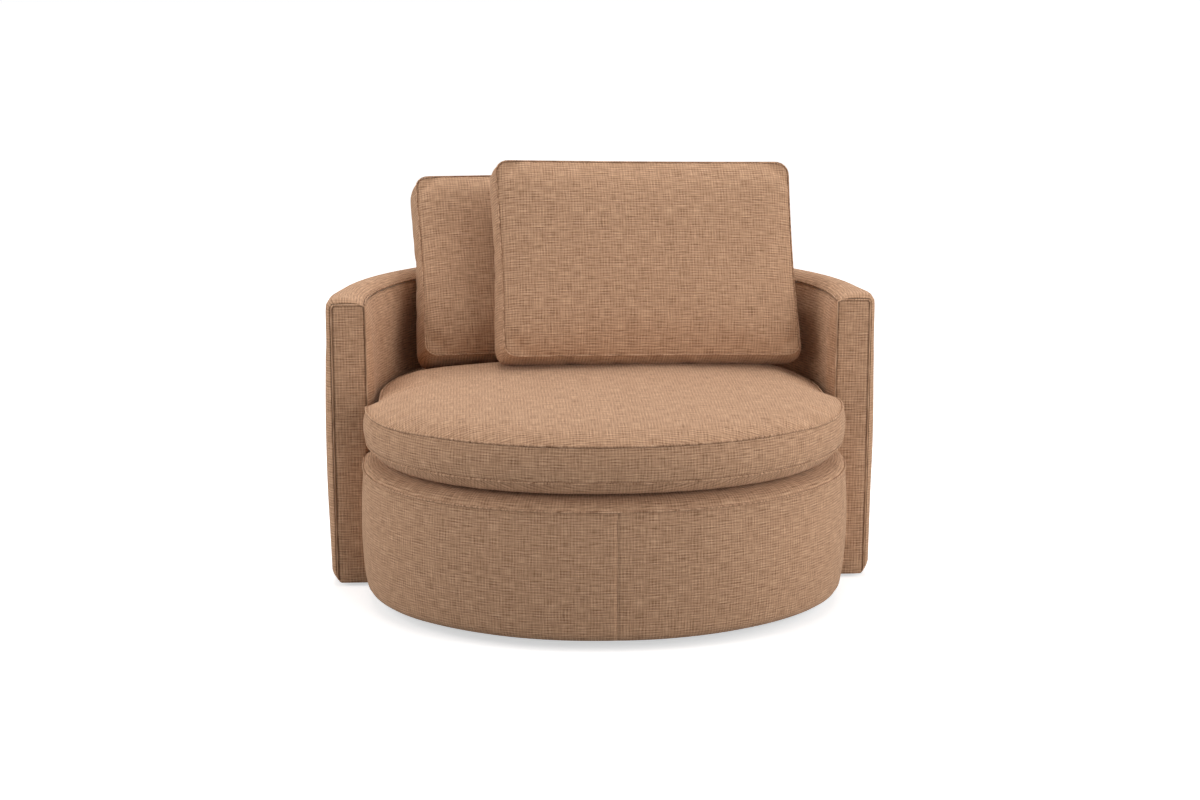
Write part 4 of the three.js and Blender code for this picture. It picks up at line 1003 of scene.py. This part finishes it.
def makeSeatCushion():
    body = "seat_cushion"
    edge = makeSeatEdge()
    piece = nettedCube("seatCushionCover", seatCushion["cuts"])
    mesh = piece.data
    net = [vertex.co.copy() for vertex in mesh.vertices]
    seamPoints = [index for index, (a, b, up) in enumerate(net) if atEnd(up) and (atEnd(a) or atEnd(b))]
    shaped, lengthsAt = [], []
    for a, b, up in net:
        radius, length = seatEdgeAt(edge, math.atan2(b, a))
        shaped.append(seatCushionPoint(a, b, up, radius))
        lengthsAt.append(length)
    drawSeatPattern(mesh, net, shaped, lengthsAt, edge["lengths"][-1])
    setPoints(mesh, shaped)
    placed = []
    for point, (a, b, up) in zip(fillCushion(piece, seamPoints, seatCushion), net):
        point, level = Vector(point), max(abs(a), abs(b))
        if up > 1 - tiny and level < 1 - tiny:
            point.z += seatCushionCreases(point, level)
        placed.append(point)
    setPoints(mesh, placed)
    seamLines = [[tuple(mesh.vertices[index].co) for index in loop] for loop in seamLoopsOf(net, seamPoints, 2, 1)]
    coverCushion(piece, body)
    for label, line, side in zip(("Low", "High"), seamLines, (1, -1)):
        sewSeam("seatCushion" + label, line, Vector((0, 0, side * seatCushion["seamShift"])), body, seatCushion)


makeSeatCushion()
print("seat cushion filled")

studio = {
    "floorSize": 60, "floorZ": -0.0005, "floorColour": (0.42, 0.42, 0.42), "seenColour": (0.9, 0.9, 0.9),
    "floorRoughness": 0.95, "nearGlow": 0.55, "farGlow": 1.0, "nearReach": 1.2, "farReach": 3.5,
    "worldStrength": 0.05, "lampAim": (0, 0, 0.4),
}


def seenByRays(nodes, links):
    rays = nodes.new("ShaderNodeLightPath")
    seen = mathNode(nodes, links, "MAXIMUM", rays.outputs["Is Camera Ray"], rays.outputs["Is Glossy Ray"])
    return mathNode(nodes, links, "MAXIMUM", seen, rays.outputs["Is Transmission Ray"])


# pale floor that glows more with distance, for the eye alone, so that the chair keeps its shadow on it
deselectAll()
bpy.ops.mesh.primitive_plane_add(size=studio["floorSize"], location=(0, 0, studio["floorZ"]))
floor = bpy.context.object
floor.name = "floor"
floorMaterial, floorNodes, floorLinks, floorShader = newMaterial("paleFloor")
floorSeen = seenByRays(floorNodes, floorLinks)
floorTint = floorNodes.new("ShaderNodeMix")
floorTint.data_type = "RGBA"
floorTint.inputs["A"].default_value = (*studio["floorColour"], 1)
floorTint.inputs["B"].default_value = (*studio["seenColour"], 1)
floorLinks.new(floorSeen, floorTint.inputs["Factor"])
floorLinks.new(floorTint.outputs["Result"], floorShader.inputs["Base Color"])
floorShader.inputs["Roughness"].default_value = studio["floorRoughness"]
floorShader.inputs["Specular IOR Level"].default_value = 0
floorShader.inputs["Emission Color"].default_value = (1, 1, 1, 1)
fromChair = floorNodes.new("ShaderNodeVectorMath")
fromChair.operation = "LENGTH"
floorLinks.new(floorNodes.new("ShaderNodeTexCoord").outputs["Object"], fromChair.inputs[0])
whiteness = floorNodes.new("ShaderNodeMapRange")
whiteness.interpolation_type = "SMOOTHSTEP"
for label, key in (("From Min", "nearReach"), ("From Max", "farReach"), ("To Min", "nearGlow"), ("To Max", "farGlow")):
    whiteness.inputs[label].default_value = studio[key]
floorLinks.new(fromChair.outputs["Value"], whiteness.inputs["Value"])
glow = mathNode(floorNodes, floorLinks, "MULTIPLY", floorSeen, whiteness.outputs["Result"])
floorLinks.new(glow, floorShader.inputs["Emission Strength"])
floor.data.materials.append(floorMaterial)

world = bpy.data.worlds.new("studio")
scene.world = world
world.use_nodes = True
worldNodes, worldLinks = world.node_tree.nodes, world.node_tree.links
background = worldNodes["Background"]
background.inputs["Color"].default_value = (1, 1, 1, 1)
worldSeen = seenByRays(worldNodes, worldLinks)
lift = mathNode(worldNodes, worldLinks, "MULTIPLY", worldSeen, 1 - studio["worldStrength"])
strength = mathNode(worldNodes, worldLinks, "ADD", lift, studio["worldStrength"])
worldLinks.new(strength, background.inputs["Strength"])

lamps = {
    "topLamp": {"place": (0, 0.2, 3.4), "size": 3.0, "power": 52},
    "backTopLamp": {"place": (0, 1.6, 3.0), "size": 2.4, "power": 44},
    "leftLamp": {"place": (-3.0, -0.8, 1.4), "size": 3.0, "power": 68},
    "rightLamp": {"place": (3.0, -0.8, 1.4), "size": 3.0, "power": 52},
    "frontRightLamp": {"place": (2.6, -3.2, 1.4), "size": 2.6, "power": 64},
}
for name, lamp in lamps.items():
    aim = (Vector(studio["lampAim"]) - Vector(lamp["place"])).to_track_quat("-Z", "Y")
    bpy.ops.object.light_add(type="AREA", location=lamp["place"], rotation=aim.to_euler())
    light = bpy.context.object
    light.name = name
    light.data.size = lamp["size"]
    light.data.energy = lamp["power"]
print("floor and light placed")
